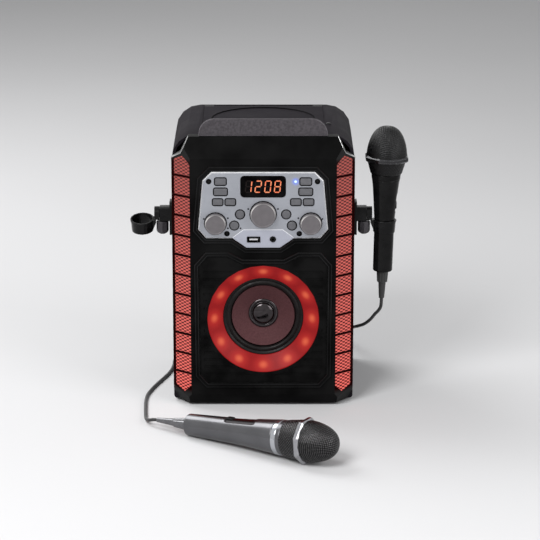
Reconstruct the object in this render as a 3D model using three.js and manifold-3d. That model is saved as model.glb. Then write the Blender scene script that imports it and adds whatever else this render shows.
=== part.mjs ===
// An upright karaoke machine: a two-part cabinet with a top-loading disc compartment, a control panel,
// a lit loudspeaker, light strips on its front corners, and two microphones on cords.
// Millimetres, +Z up, front towards -Y. The machine is laid out from its centre line, its front plane
// and the floor, and the finished group is then moved so that its origin is at the base of its box.

import * as THREE from 'three';
import { mergeVertices } from 'three/addons/utils/BufferGeometryUtils.js';
import Module from 'manifold-3d';

const wasm = await Module();
wasm.setup();

// Clearances and the steps that round forms are made with
const gap = 0.3;
const overrun = 4;
const roundSteps = 3;
const tinySides = 8;
const smallSides = 12;
const midSides = 16;
const ringSides = 28;

// Cabinet
const feet = { height: 3, radius: 9, taper: 1.2, sideInset: 24, frontInset: 42, backInset: 22 };
const cabinet = { half: 107, height: 325, depth: 185, wall: 3, frontDepth: 24, cornerRadius: 4 };
const shoulder = { radius: 30, backRadius: 3.2 };
const chamfer = { width: 22, depth: 16.5 };
const band = { rise: 24, lean: 11 };
const skirt = { rise: 13.4, lean: 7 };
const ear = { sideDrop: 26, kneeInset: 11, kneeDrop: 19, topInset: 20 };
const toe = { sideRise: 21, kneeInset: 12.5, kneeRise: 12.5, baseInset: 20 };
const shell = { wall: 4, sideInset: 27, baseInset: 13, topInset: 22 };
const lip = { half: 75, height: 19, front: 2.2, width: 9.4, lean: 3.2, topThickness: 5, endRadius: 18 };

// Light strips, measured along the chamfer and up it
const strip = { inset: 0.9, width: 22.7, bottomTip: 14.7, topTip: 22, cells: 12, bar: 2.4 };
const stripLens = { tipShare: 0.46, outerDrop: 5, innerDrop: 9, outerRise: 7, innerRise: 9 };
const stripDepth = { face: 0.3, wall: 2, plate: 2, border: 1.5, pocket: 9 };

// Control panel
const panel = { half: 75.9, height: 91.2, drop: 15.2, thickness: 3.5, proud: 1.5, bevel: 1.3, ledge: 2.8 };
const bead = { offset: 1.4, width: 4.4, height: 1.6 };
const pod = { ridgeDrop: 69.3, fall: 1.3, topHalf: 23 };
const displayHole = { width: 52.6, height: 25.6, drop: 17.5, radius: 4.5, recess: 0.3, thickness: 2.2 };
const readoutShare = { digits: 4, width: 0.66, height: 0.66 };
const button = { proud: 1.9, radius: 1.8, flange: 0.7, flangeThickness: 1.2, travel: 1, stem: 2, crown: 0.7 };
const keySize = { short: 14.3, wide: 16.8, pair: 13, height: 9.6, lowHeight: 8.8, round: 5.75 };
const knob = { bigRadius: 15, smallRadius: 12.4, height: 7.4, rim: 1.4, lift: 0.5, shaft: 3, dish: 0.9, mark: 1.6 };
const screwHole = { radius: 3.1, depth: 2 };
const led = { radius: 1.4 };
const board = { front: 8, thickness: 1.6, sideInset: 9, topInset: 4, bottomInset: 14.3, module: 4.6, standoff: 2.6 };
const usb = { width: 13.8, height: 5.3, wall: 0.7, depth: 14, proud: 0.3, drop: 81.3 };
const aux = { radius: 3.5, bore: 1.75, depth: 14, proud: 0.5, drop: 81 };

// Places on the panel, as shares of its half width and of its height below its top edge
const panelShares = [[0.258, 1], [0.472, 0.877], [0.877, 0.877], [1, 0.758], [0.93, 0.115], [0.793, 0]];
const keyShares = [
  { name: 'function_button', x: -0.652, y: 0.128, width: 'short', height: 'height' },
  { name: 'record_button', x: -0.652, y: 0.262, width: 'wide', height: 'height' },
  { name: 'previous_button', x: -0.696, y: 0.398, width: 'pair', height: 'lowHeight' },
  { name: 'next_button', x: -0.502, y: 0.398, width: 'pair', height: 'lowHeight' },
  { name: 'power_button', x: 0.652, y: 0.128, width: 'short', height: 'height' },
  { name: 'light_button', x: 0.652, y: 0.262, width: 'wide', height: 'height' },
  { name: 'program_button', x: 0.502, y: 0.398, width: 'pair', height: 'lowHeight' },
  { name: 'stop_button', x: 0.696, y: 0.398, width: 'pair', height: 'lowHeight' },
];
const roundKeyShares = [
  { name: 'volume_down_button', x: -0.354, y: 0.56 },
  { name: 'echo_down_button', x: -0.443, y: 0.707 },
  { name: 'volume_up_button', x: 0.354, y: 0.56 },
  { name: 'echo_up_button', x: 0.443, y: 0.707 },
];
const knobShares = [
  { name: 'volume_knob', x: 0, y: 0.554, size: 'bigRadius' },
  { name: 'echo_knob', x: -0.732, y: 0.675, size: 'smallRadius' },
  { name: 'microphone_knob', x: 0.732, y: 0.675, size: 'smallRadius' },
];
const screwShares = [[0.831, 0.124], [0.556, 0.811]];
const socketShares = { usb: -0.146, aux: 0.15, led: [0.497, 0.125] };

// Loudspeaker
const speaker = { centre: 106.2, ring: 65.8, ringFront: 0.8, ringInner: 47.6, ringFall: 10.8, ringWall: 2.4 };
const grille = { side: 9.2, over: 10.9, under: 12.5, front: 0.4, thickness: 1.8, slot: 3, pitch: 9, slotDepth: 0.8 };
const grilleShares = [[0.863, 1], [0.987, 0.932], [1, 0.077], [0.863, 0], [0.567, 0], [0.343, 0.056]];
const basket = { gasket: 0.5, flange: 51.5, flangeThickness: 5.5, roll: 38, rollHeight: 2.2, rollDepth: 4 };
const magnet = { radius: 33, thickness: 18, neck: 26 };
const cone = { rim: 37.4, rimDepth: 4.2, neck: 18.6, depth: 11, wall: 1.3, travel: 1 };
const cap = { ring: 17.6, dome: 13.4, height: 6, ringHeight: 1.1 };

// Disc compartment
const lid = { half: 72, front: 26.4, back: 180, thickness: 3, radius: 5, dish: 62.5, dishDepth: 1.1, dishEdge: 1.6 };
const hinge = { barrel: 4.5, half: 60, pin: 1.8, pinLength: 5, cheek: 7.2, cheekDepth: 9.5 };
const well = { radius: 62, centre: 106, depth: 15.7, wall: 2.2, rim: 2.2, ledge: 5, seatDepth: 9 };
const turntable = { radius: 15, lift: 1.5, thickness: 2.5, hub: 7.3, hubTop: 6, hubHeight: 4.5, shaft: 1.5 };
const chassis = { half: 67, front: 70, back: 142, drop: 10.8, thickness: 2, post: 3, postShare: 0.72, postReach: 28 };
const motor = { radius: 12, height: 10, boss: 6, bossHeight: 8 };
const sled = { rest: 24, length: 14, half: 15, bottom: 2.4, height: 5.6, lens: 4, lensRise: 4.4, travel: 30, slot: 6.2 };
const rod = { radius: 1.5, spread: 11.5, inner: 12, outer: 63, block: 4, blockHalf: 15 };
const lidButton = { x: 77, y: 77, radius: 3.1, proud: 1.3, length: 12, travel: 1.2 };

// Back of the cabinet
const jack = { width: 92, height: 42, centre: 95, thickness: 2.5, radius: 4 };
const micSocket = { spread: 17, rise: 9, bore: 3.25, sleeve: 5, nut: 7, nutHeight: 2.4, depth: 16 };
const inlet = { x: 34, rise: -9, bore: 3.1, boss: 5.6, depth: 10 };
const avJack = { x: -34, pitch: 14, rise: -9, radius: 4.1, inner: 1.6, proud: 7 };
const vent = { width: 62, slot: 3, pitch: 8, count: 6, bottom: 190 };

// Microphone holders
const holder = { depth: 40, height: 228.5, plateWidth: 24, plateBelow: 24.5, plateAbove: 15.5, plateThickness: 3 };
const clamp = { length: 11.7, half: 7.5, below: 8.5, above: 8.5, bore: 4.8, boreDepth: 9 };
const arm = { flange: 8.3, width: 6.1, web: 5.5, webGap: 4.6 };
const cup = { out: 36.2, rim: 14.2, top: 13.5, bottom: 12.9, bore: 12.3, height: 15, drop: 7.3, rimHeight: 2 };
const thumb = { radius: 7.2, height: 15.5, out: 12, screw: 2.2, lobes: 8, dip: 0.8, crown: 1.9 };
const emptyTilt = 15;
const cupLean = 1.3;

// Microphones: heights along the axis, from the cup's rim on the black one and from the tail on the silver one
const blackHandle = {
  tail: -63, tailRadius: 11.5, seat: 12, flare: 13, flareAt: 3, neck: 14.6, collar: 17, collarAt: 49.5, end: 56,
};
const silverHandle = { tail: 0, tailRadius: 12.65, mid: 14.8, flare: 17.3, collar: 20, collarAt: 124, end: 136 };
const head = { lower: 18.4, lowerTop: 22.4, band: 26.8, bandHeight: 7, dome: 23.6, lowerHeight: 15, domeHeight: 34 };
const silverHead = { lower: 20.8, lowerTop: 23.4, lowerHeight: 21, domeHeight: 36 };
const relief = { collar: 7, collarFoot: 6.2, collarLength: 14, top: 4.4, tip: 3.2, length: 20 };
const silverRelief = { collar: 7.4, collarFoot: 5.3, collarLength: 20, top: 4.4, tip: 2.6, length: 24.7 };
const micSwitch = { width: 9, length: 23, plate: 0.8, thumb: 4.2, thumbLength: 9, rise: 2.2, travel: 6, seat: 1.4 };
const blackSwitchAt = 21;
const silverSwitchAt = 62;
const domeBulge = { across: 0.75, along: 1.2 };
const silverPlace = { x: -85.5, y: -94.3, yaw: -33 };

// Cords
const cord = { radius: 2, sides: 6, step: 13 };
const coil = { middle: 24, pitch: 5.2, layer: 4.8, turns: 1.75, layers: 4, swap: 0.5, ramp: 0.75, outset: 6.3 };
const coilMesh = { steps: 16, sides: 6, lead: 4 };
const coilLandingShare = 0.35;
const gapCheck = { stepsPerStep: 5, skippedTurns: 0.4 };
const blackCoil = { x: cabinet.half - 79, y: 277.5, start: 90 };
const silverCoil = { x: -62, y: 232, start: -90 };
const plug = { radius: 5, grip: 22, relief: 12, mouth: 2.7, collar: 4, collarLength: 2.5, shank: 3.17, length: 26 };
const plugTip = { waist: 2.2, ball: 3, point: 0.75, groove: 5.1 };

// The black cord's points are measured from the cabinet's side, as its microphone is.
const blackCordPoints = [
  [33.85, 40, 118.6], [33.3, 41.5, 112.4], [31, 47, 106], [27.6, 57.5, 98.5], [23.2, 80, 84.5],
  [17.6, 112, 68.5], [12.5, 140, 57], [7.5, 168, 46.5], [3.5, 193, 37.5], [-1, 217, 29], [-7, 241, 20.5],
  [-15, 263, 12.8], [-25, 281.5, 7], [-39, 296, 3.4], [-54, 304.5, 2.1], [-65, 306.7, 2],
];
const silverCordPoints = [
  [-127.5, -67, 8.4], [-132, -63, 6.5], [-135.6, -56, 4.2], [-137.6, -44, 2.4], [-138.8, -28, 2], [-139.8, -8, 2],
  [-140.6, 16, 2], [-139.3, 39, 2], [-133.1, 66.4, 2], [-124.3, 94.3, 2], [-116, 122, 2], [-112.6, 145, 2],
  [-112, 166, 2], [-110.5, 183, 2], [-104, 196, 2], [-92, 201.8, 2], [-78, 202.8, 2],
];

// Levels that several pieces share
const base = feet.height;
const top = base + cabinet.height;
const bandFoot = top - band.rise;
const panelTop = bandFoot - panel.drop;
const speakerZ = base + speaker.centre;
const chamferInner = cabinet.half - chamfer.width;
const backOfFront = cabinet.frontDepth;
const panelFace = -panel.proud;
const panelBack = panelFace + panel.thickness;

// Materials
const finish = (colour, roughness, metalness = 0) =>
  new THREE.MeshStandardMaterial({ color: colour, roughness, metalness, flatShading: true });
const charcoal = finish(0x2b2b2d, 0.6);
const black = finish(0x141416, 0.4);
const glossBlack = finish(0x08080a, 0.12);
const silver = finish(0xbcc0c8, 0.38, 0.6);
const warmGray = finish(0x8f8d8a, 0.45, 0.2);
const midGray = finish(0x6e7078, 0.5);
const lightGray = finish(0x7b7a7c, 0.75);
const glowRed = finish(0xc8323a, 0.35);
const brown = finish(0x4a3a38, 0.7);
const chrome = finish(0xd4d6da, 0.15, 1);
const steel = finish(0x9a9ca2, 0.35, 0.9);
const green = finish(0x1d4a30, 0.6);
const rubber = finish(0x101012, 0.7);

// Makes a closed solid of any closed geometry, with its faces turned outwards.
function solid(geometry) {
  const bare = geometry.clone();
  bare.deleteAttribute('normal');
  bare.deleteAttribute('uv');
  const welded = mergeVertices(bare);
  const points = welded.getAttribute('position').array;
  const index = welded.getIndex().array;
  const faces = [];
  let volume = 0;
  const corner = (i) => new THREE.Vector3().fromArray(points, 3 * i);
  for (let i = 0; i < index.length; i += 3) {
    const [a, b, c] = [index[i], index[i + 1], index[i + 2]];
    if (a === b || b === c || c === a) continue;
    faces.push(a, b, c);
    volume += corner(a).dot(corner(b).cross(corner(c)));
  }
  if (volume < 0) faces.reverse();
  return new wasm.Manifold(
    new wasm.Mesh({ numProp: 3, vertProperties: points, triVerts: Uint32Array.from(faces) }));
}

const joined = (...bodies) => bodies.flat().reduce((sum, body) => sum.add(body));
const without = (body, ...cutters) => cutters.flat().reduce((rest, cutter) => rest.subtract(cutter), body);

// An outline with each corner rounded by an arc.
function rounded(points, radii = 0, steps = roundSteps) {
  const corners = points.map(([x, y]) => new THREE.Vector2(x, y));
  const centreOfTurn = new THREE.Vector2();
  return new THREE.Shape(corners.flatMap((corner, i) => {
    const radius = Array.isArray(radii) ? radii[i] : radii;
    if (!radius) return [corner];
    const before = corners.at(i - 1).clone().sub(corner).normalize();
    const after = corners[(i + 1) % corners.length].clone().sub(corner).normalize();
    const half = Math.acos(before.dot(after)) / 2;
    const reach = radius / Math.tan(half);
    const centre = before.clone().add(after).setLength(radius / Math.sin(half)).add(corner);
    const from = before.setLength(reach).add(corner).sub(centre);
    const to = after.setLength(reach).add(corner).sub(centre);
    const sweep = Math.atan2(from.cross(to), from.dot(to));
    return Array.from({ length: steps + 1 }, (_, k) =>
      from.clone().rotateAround(centreOfTurn, sweep * k / steps).add(centre));
  }));
}

// A right-hand outline, from its foot to its top, with its mirror image.
const mirrored = (side) => [...side, ...side.map(([x, y]) => [-x, y]).reverse()];

// An outline moved outwards by an even amount, its points running anticlockwise.
function grown(points, amount) {
  return points.map(([x, y], i) => {
    const [beforeX, beforeY] = points.at(i - 1);
    const [afterX, afterY] = points[(i + 1) % points.length];
    const first = new THREE.Vector2(y - beforeY, beforeX - x).normalize();
    const second = new THREE.Vector2(afterY - y, x - afterX).normalize();
    const shift = first.clone().add(second).multiplyScalar(amount / (1 + first.dot(second)));
    return [x + shift.x, y + shift.y];
  });
}

const rectangle = (left, right, low, high) => [[left, low], [right, low], [right, high], [left, high]];
const circle = (x, y, radius, sides = smallSides) =>
  Array.from({ length: sides }, (_, i) => {
    const angle = (2 * Math.PI * i) / sides;
    return [x + radius * Math.cos(angle), y + radius * Math.sin(angle)];
  });
const shaped = (outline) => (outline instanceof THREE.Shape ? outline : rounded(outline));
const extruded = (outline, depth) =>
  new THREE.ExtrudeGeometry(shaped(outline), { depth, bevelEnabled: false, steps: 1 });

// Prisms: from an outline in x and z running back, one in x and y running up, and one in y and z running across.
function slab(outline, front, back, place) {
  const geometry = extruded(outline, back - front).rotateX(Math.PI / 2).translate(0, back, 0);
  return solid(place ? geometry.applyMatrix4(place) : geometry);
}
const column = (outline, low, high) => solid(extruded(outline, high - low).translate(0, 0, low));
const acrossBasis = new THREE.Matrix4().set(0, 0, 1, 0, 1, 0, 0, 0, 0, 1, 0, 0, 0, 0, 0, 1);
const beam = (outline, left, right) =>
  solid(extruded(outline, right - left).applyMatrix4(acrossBasis).translate(left, 0, 0));

// Turned forms: a profile of [radius, distance along the axis], with the axis up, to the back or across.
const spun = (profile, sides) =>
  new THREE.LatheGeometry(profile.map(([radius, along]) => new THREE.Vector2(radius, along)), sides);
const turnedUp = (profile, sides = midSides, x = 0, y = 0, z = 0) =>
  solid(spun(profile, sides).rotateX(Math.PI / 2).translate(x, y, z));
const turnedBack = (profile, sides = midSides, x = 0, z = 0) => solid(spun(profile, sides).translate(x, 0, z));
const rodUp = (radius, low, high, x = 0, y = 0, sides = smallSides) =>
  turnedUp([[0, low], [radius, low], [radius, high], [0, high]], sides, x, y);
const rodBack = (radius, front, back, x = 0, z = 0, sides = smallSides) =>
  turnedBack([[0, front], [radius, front], [radius, back], [0, back]], sides, x, z);
const rodAcross = (radius, left, right, y = 0, z = 0, sides = smallSides) =>
  solid(spun([[0, left], [radius, left], [radius, right], [0, right]], sides)
    .rotateZ(-Math.PI / 2).translate(0, y, z));

// Takes away all that lies beyond a plane, on the side that its normal points to.
function shaved(body, point, normal) {
  const reach = 2 * cabinet.height;
  const block = new THREE.BoxGeometry(reach, reach, reach).translate(0, 0, reach / 2);
  const turn = new THREE.Quaternion().setFromUnitVectors(
    new THREE.Vector3(0, 0, 1), new THREE.Vector3(...normal).normalize());
  return body.subtract(solid(block.applyQuaternion(turn).translate(...point)));
}

// The plane through three points, with its normal turned to the front.
function facet(body, a, b, c) {
  const [first, second, third] = [a, b, c].map((point) => new THREE.Vector3(...point));
  const normal = second.sub(first).cross(third.sub(first));
  if (normal.y > 0) normal.negate();
  return shaved(body, a, normal.toArray());
}

// The object's scene graph
const machine = new THREE.Group();

function piece(name, body, material, parent = machine) {
  const source = body.getMesh();
  const geometry = new THREE.BufferGeometry();
  geometry.setAttribute('position', new THREE.Float32BufferAttribute(source.vertProperties, 3));
  geometry.setIndex([...source.triVerts]);
  geometry.computeVertexNormals();
  const mesh = new THREE.Mesh(geometry, material);
  mesh.name = name;
  parent.add(mesh);
  return mesh;
}

// Outlines that more than one piece follows
const panelOutline = mirrored(panelShares.map(([x, y]) => [x * panel.half, panelTop - y * panel.height]));
const grilleHalf = speaker.ring + grille.side;
const grilleTop = speakerZ + speaker.ring + grille.over;
const grilleBottom = speakerZ - speaker.ring - grille.under;
const grilleOutline = mirrored(grilleShares.map(([x, y]) =>
  [x * grilleHalf, grilleTop - y * (grilleTop - grilleBottom)]));
const panelX = (share) => share * panel.half;
const panelZ = (share) => panelTop - share * panel.height;

// Light strips: the long pentagon-ended outline on the chamfer, and where the chamfers lie
const stripOuter = strip.inset + strip.width;
const stripTip = strip.inset + stripLens.tipShare * strip.width;
const stripTop = top - strip.topTip;
const stripBottom = base + strip.bottomTip;
const stripOutline = [
  [stripTip, stripBottom],
  [stripOuter, stripBottom + stripLens.outerRise],
  [stripOuter, stripTop - stripLens.outerDrop],
  [stripTip, stripTop],
  [strip.inset, stripTop - stripLens.innerDrop],
  [strip.inset, stripBottom + stripLens.innerRise],
];
const rightChamfer = new THREE.Matrix4().makeTranslation(chamferInner, 0, 0)
  .multiply(new THREE.Matrix4().makeRotationZ(Math.atan2(chamfer.depth, chamfer.width)));
const leftChamfer = new THREE.Matrix4().makeScale(-1, 1, 1).multiply(rightChamfer);
const stripBars = (half) => Array.from({ length: strip.cells - 1 }, (_, i) => {
  const height = stripBottom + ((stripTop - stripBottom) * (i + 1)) / strip.cells;
  return rectangle(-overrun, stripOuter + overrun, height - half, height + half);
});

function stripPads(outline, half, front, back, place) {
  const bars = stripBars(half).map((bar) => slab(bar, front - overrun, back + overrun, place));
  return without(slab(outline, front, back, place), bars);
}

function lightStrip(name, place) {
  const plate = slab(grown(stripOutline, stripDepth.border), stripDepth.wall + gap,
    stripDepth.wall + gap + stripDepth.plate, place);
  const pads = stripPads(stripOutline, strip.bar / 2 + gap, stripDepth.face, stripDepth.wall + 2 * gap, place);
  return piece(name, joined(plate, pads), glowRed);
}

// Front shell: the faceted baffle that carries the panel, the speaker and the light strips
function frontCabinet() {
  const side = [
    [cabinet.half, base],
    [cabinet.half, top - ear.sideDrop],
    [cabinet.half - ear.kneeInset, top - ear.kneeDrop],
    [cabinet.half - ear.topInset, top],
  ];
  const corners = [cabinet.cornerRadius, 0, 0, 0, 0, 0, 0, cabinet.cornerRadius];
  let body = slab(rounded(mirrored(side), corners), 0, backOfFront);
  body = shaved(body, [0, 0, bandFoot], [0, -band.rise, band.lean]);
  body = shaved(body, [0, 0, base + skirt.rise], [0, -skirt.rise, -skirt.lean]);
  for (const hand of [-1, 1]) {
    body = shaved(body, [hand * chamferInner, 0, 0], [hand * chamfer.depth, -chamfer.width, 0]);
    body = facet(body,
      [hand * cabinet.half, chamfer.depth, base + toe.sideRise],
      [hand * (cabinet.half - toe.kneeInset), chamfer.depth * (1 - toe.kneeInset / chamfer.width), base + toe.kneeRise],
      [hand * (cabinet.half - toe.baseInset), skirt.lean, base]);
  }
  const cavity = rounded(rectangle(shell.sideInset - cabinet.half, cabinet.half - shell.sideInset,
    base + shell.baseInset, top - shell.topInset), cabinet.cornerRadius);
  body = without(body, slab(cavity, shell.wall, backOfFront + overrun));
  for (const outline of [panelOutline, grilleOutline]) {
    const rim = without(slab(grown(outline, bead.offset + bead.width), -bead.height, bead.height),
      slab(grown(outline, bead.offset), -bead.height - overrun, bead.height + overrun));
    body = joined(body, rim);
  }
  const panelSeat = slab(grown(panelOutline, gap), -overrun, panelBack + gap);
  const panelWindow = slab(grown(panelOutline, -panel.ledge), -overrun, shell.wall + overrun);
  const grilleSeat = slab(grown(grilleOutline, gap), -overrun, grille.front + grille.thickness + gap);
  const ringHole = rodBack(speaker.ring + 2 * gap, -overrun, shell.wall + overrun, 0, speakerZ, ringSides);
  body = without(body, panelSeat, panelWindow, grilleSeat, ringHole);
  for (const place of [leftChamfer, rightChamfer]) {
    const windows = stripPads(grown(stripOutline, gap), strip.bar / 2, -overrun, stripDepth.wall + overrun, place);
    const pocket = slab(grown(stripOutline, stripDepth.border + gap), stripDepth.wall, stripDepth.pocket, place);
    body = without(body, windows, pocket);
  }
  return piece('front_cabinet', body, black);
}

// Rear shell: the hollow box with rounded shoulders, its disc opening, its back openings and its feet
function rearCabinet() {
  const front = backOfFront + gap;
  const side = [[cabinet.half, base], [cabinet.half, top]];
  const radii = [cabinet.cornerRadius, shoulder.radius, shoulder.radius, cabinet.cornerRadius];
  const soft = shoulder.backRadius;
  const outer = new THREE.ExtrudeGeometry(rounded(mirrored(side), radii, roundSteps + 1), {
    depth: cabinet.depth - front, bevelThickness: soft, bevelSize: soft, bevelOffset: -soft, bevelSegments: 2,
  }).rotateX(Math.PI / 2).translate(0, cabinet.depth - soft, 0);
  const everywhere = rectangle(-cabinet.half - overrun, cabinet.half + overrun, 0, top + overrun);
  let body = solid(outer).intersect(slab(everywhere, front, cabinet.depth + overrun));
  const wall = cabinet.wall;
  const insideRadii = [cabinet.cornerRadius, shoulder.radius - wall, shoulder.radius - wall, cabinet.cornerRadius];
  const inside = rounded(mirrored([[cabinet.half - wall, base + wall], [cabinet.half - wall, top - wall]]),
    insideRadii);
  body = without(body, slab(inside, front - overrun, cabinet.depth - wall));
  const openingHalf = lid.half + gap;
  const frameHalf = lidButton.x + lidButton.radius + wall;
  const frame = column(rectangle(-frameHalf, frameHalf, front, cabinet.depth - wall / 2),
    top - wall - well.seatDepth, top - wall);
  body = joined(body, frame);
  const opening = rounded(rectangle(-openingHalf, openingHalf, lid.front - gap, lid.back + 2 * gap), lid.radius);
  const seat = top - lid.thickness - well.rim - 2 * gap;
  const throat = rounded(rectangle(well.ledge - openingHalf, openingHalf - well.ledge,
    lid.front + well.ledge, lid.back - well.ledge), lid.radius);
  const trough = beam(rectangle(lid.back - 2 * hinge.barrel - gap, lid.back + 2 * gap,
    top - lid.thickness - well.rim - hinge.cheek - 2 * gap, top), -openingHalf, openingHalf);
  body = without(body, column(opening, seat, top + overrun), column(throat, base + wall + overrun, top), trough);
  const buttonFloor = top + lidButton.proud - lidButton.length - lidButton.travel - gap;
  body = without(body, rodUp(lidButton.radius + gap, buttonFloor, top + overrun, lidButton.x, lidButton.y));
  const recess = rounded(rectangle(-jack.width / 2, jack.width / 2, base + jack.centre - jack.height / 2,
    base + jack.centre + jack.height / 2), jack.radius);
  body = without(body, slab(grown(recess.getPoints().map((p) => [p.x, p.y]), gap),
    cabinet.depth - wall - overrun, cabinet.depth + overrun));
  const slots = Array.from({ length: vent.count }, (_, i) => {
    const low = base + vent.bottom + i * vent.pitch;
    return slab(rectangle(-vent.width / 2, vent.width / 2, low, low + vent.slot),
      cabinet.depth - wall - overrun, cabinet.depth + overrun);
  });
  body = without(body, slots);
  const footAt = [feet.frontInset, cabinet.depth - feet.backInset];
  const profile = [[0, 0], [feet.radius - feet.taper, 0], [feet.radius, base + wall], [0, base + wall]];
  for (const hand of [-1, 1]) {
    for (const y of footAt) {
      body = joined(body, turnedUp(profile, smallSides, hand * (cabinet.half - feet.sideInset), y));
    }
  }
  return piece('rear_cabinet', body, charcoal);
}

// Raised lip across the top of the front shell, which a tablet or a song sheet leans on
function cradleLip() {
  const foot = top + gap;
  const crest = foot + lip.height;
  const front = band.lean + lip.front;
  const face = slab(rounded(rectangle(-lip.half, lip.half, foot, crest), [0, 0, lip.endRadius, lip.endRadius],
    2 * roundSteps), 0, backOfFront);
  const profile = beam(rounded([
    [front, foot],
    [front + lip.width, foot],
    [front + lip.lean + lip.topThickness, crest],
    [front + lip.lean, crest],
  ], [0, 0, gap, lip.lean / 2]), -lip.half - overrun, lip.half + overrun);
  return piece('cradle_lip', face.intersect(profile), lightGray);
}

// Lid and its compartment
const lidUnder = top - lid.thickness;
const hingeY = lid.back - hinge.barrel;
const hingeZ = top - hinge.barrel;
const wellFloor = top - lid.thickness - gap - well.depth;

function discLid() {
  const cheekSide = hinge.half + hinge.pinLength;
  const notchFront = hingeY - hinge.barrel - gap;
  const front = lid.front;
  const plate = column(rounded([
    [-lid.half, notchFront], [-lid.half, front], [lid.half, front], [lid.half, notchFront],
    [hinge.half, notchFront], [hinge.half, hingeY], [-hinge.half, hingeY], [-hinge.half, notchFront],
  ], [0, lid.radius, lid.radius, 0, 0, 0, 0, 0]), lidUnder, top);
  const barrel = rodAcross(hinge.barrel, -hinge.half, hinge.half, hingeY, hingeZ, smallSides);
  const pins = rodAcross(hinge.pin, -cheekSide, cheekSide, hingeY, hingeZ, smallSides);
  const dish = turnedUp([
    [0, top - lid.dishDepth], [lid.dish - lid.dishEdge, top - lid.dishDepth], [lid.dish, top],
    [lid.dish, top + overrun], [0, top + overrun],
  ], ringSides, 0, well.centre);
  return piece('disc_lid', without(joined(plate, barrel, pins), dish), charcoal);
}

function discDeck() {
  const rimTop = lidUnder - gap;
  const half = lid.half;
  const back = lid.back + gap;
  const rim = column(rounded(rectangle(-half, half, lid.front, back), lid.radius), rimTop - well.rim, rimTop);
  const bowl = rodUp(well.radius + well.wall, wellFloor - well.wall, rimTop, 0, well.centre, ringSides);
  let body = without(joined(rim, bowl), rodUp(well.radius, wellFloor, top, 0, well.centre, ringSides));
  const barrelRoom = rodAcross(hinge.barrel + gap, -hinge.half - gap, hinge.half + gap, hingeY, hingeZ, smallSides);
  const barrelGap = beam(rectangle(hingeY, back + overrun, rimTop - well.rim - overrun, rimTop + overrun),
    -hinge.half - gap, hinge.half + gap);
  body = without(body, barrelRoom, barrelGap);
  for (const hand of [-1, 1]) {
    const [left, right] = [hand * (hinge.half + gap), hand * half].sort((a, b) => a - b);
    const cheek = beam(rounded(rectangle(hingeY - hinge.barrel, back, rimTop - well.rim - hinge.cheek, top - gap),
      [0, 0, 0, hinge.barrel]), left, right);
    const hole = rodAcross(hinge.pin + gap, Math.min(0, hand * (hinge.half + hinge.pinLength + gap)),
      Math.max(0, hand * (hinge.half + hinge.pinLength + gap)), hingeY, hingeZ, smallSides);
    body = without(joined(body, cheek), hole);
  }
  body = without(body, rodUp(turntable.radius + 4 * gap, wellFloor - overrun, wellFloor + overrun, 0, well.centre));
  const slotRadius = sled.slot;
  const slotShape = rounded(rectangle(-sled.rest - sled.travel - slotRadius, slotRadius - sled.rest,
    well.centre - slotRadius, well.centre + slotRadius), slotRadius - gap);
  return piece('disc_deck', without(body, column(slotShape, wellFloor - overrun, wellFloor + overrun)), black);
}

const chassisTop = wellFloor - well.wall - chassis.drop + chassis.thickness;

function discMechanism() {
  const plateLow = chassisTop - chassis.thickness;
  const plate = column(rounded(rectangle(-chassis.half, chassis.half, chassis.front, chassis.back),
    cabinet.cornerRadius), plateLow, chassisTop);
  const can = rodUp(motor.radius, plateLow - motor.height, plateLow + gap, 0, well.centre, midSides);
  const boss = rodUp(motor.boss, chassisTop - gap, chassisTop + motor.bossHeight, 0, well.centre);
  const posts = [-1, 1].flatMap((x) => [-1, 1].map((y) =>
    rodUp(chassis.post, chassisTop - gap, wellFloor - well.wall - gap, x * chassis.postShare * chassis.half,
      well.centre + y * chassis.postReach, tinySides)));
  const rodZ = chassisTop + sled.bottom + sled.height / 2;
  const blocks = [-rod.outer - rod.block, -rod.inner].map((x) =>
    beam(rectangle(well.centre - rod.blockHalf, well.centre + rod.blockHalf, chassisTop - gap,
      rodZ + rod.radius + gap), x, x + rod.block));
  const rods = [-1, 1].map((y) =>
    rodAcross(rod.radius, -rod.outer - gap, -rod.inner + gap, well.centre + y * rod.spread, rodZ, tinySides));
  const body = joined(plate, can, boss, posts, blocks, rods);
  return piece('disc_mechanism',
    without(body, rodUp(turntable.shaft + gap, chassisTop, top, 0, well.centre)), steel);
}

function discTurntable() {
  const platter = wellFloor + turntable.lift;
  const face = platter + turntable.thickness;
  const body = turnedUp([
    [0, chassisTop + gap], [turntable.shaft, chassisTop + gap], [turntable.shaft, platter],
    [turntable.radius, platter], [turntable.radius, face], [turntable.hub, face],
    [turntable.hubTop, face + turntable.hubHeight], [0, face + turntable.hubHeight],
  ], midSides, 0, well.centre);
  return piece('turntable', body, black);
}

function pickupSled() {
  const low = chassisTop + sled.bottom;
  const high = low + sled.height;
  const rodZ = low + sled.height / 2;
  const left = -sled.rest - sled.length / 2;
  let body = beam(rounded(rectangle(well.centre - sled.half, well.centre + sled.half, low, high),
    sled.height / 4, 2), left, left + sled.length);
  body = joined(body, turnedUp([
    [0, high - gap], [sled.lens, high - gap], [sled.lens, high + sled.lensRise - gap],
    [sled.lens - gap, high + sled.lensRise], [0, high + sled.lensRise],
  ], smallSides, -sled.rest, well.centre));
  const holes = [-1, 1].map((y) =>
    rodAcross(rod.radius + gap, left - overrun, left + sled.length + overrun, well.centre + y * rod.spread, rodZ,
      tinySides));
  return piece('pickup_sled', without(body, holes), black);
}

function openButton() {
  const high = top + lidButton.proud;
  const { radius, proud } = lidButton;
  const body = turnedUp([
    [0, high - lidButton.length], [radius, high - lidButton.length], [radius, high - proud / 2],
    [radius * 0.6, high - proud / 6], [0, high],
  ], smallSides, lidButton.x, lidButton.y);
  return piece('lid_button', body, glossBlack);
}

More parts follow.
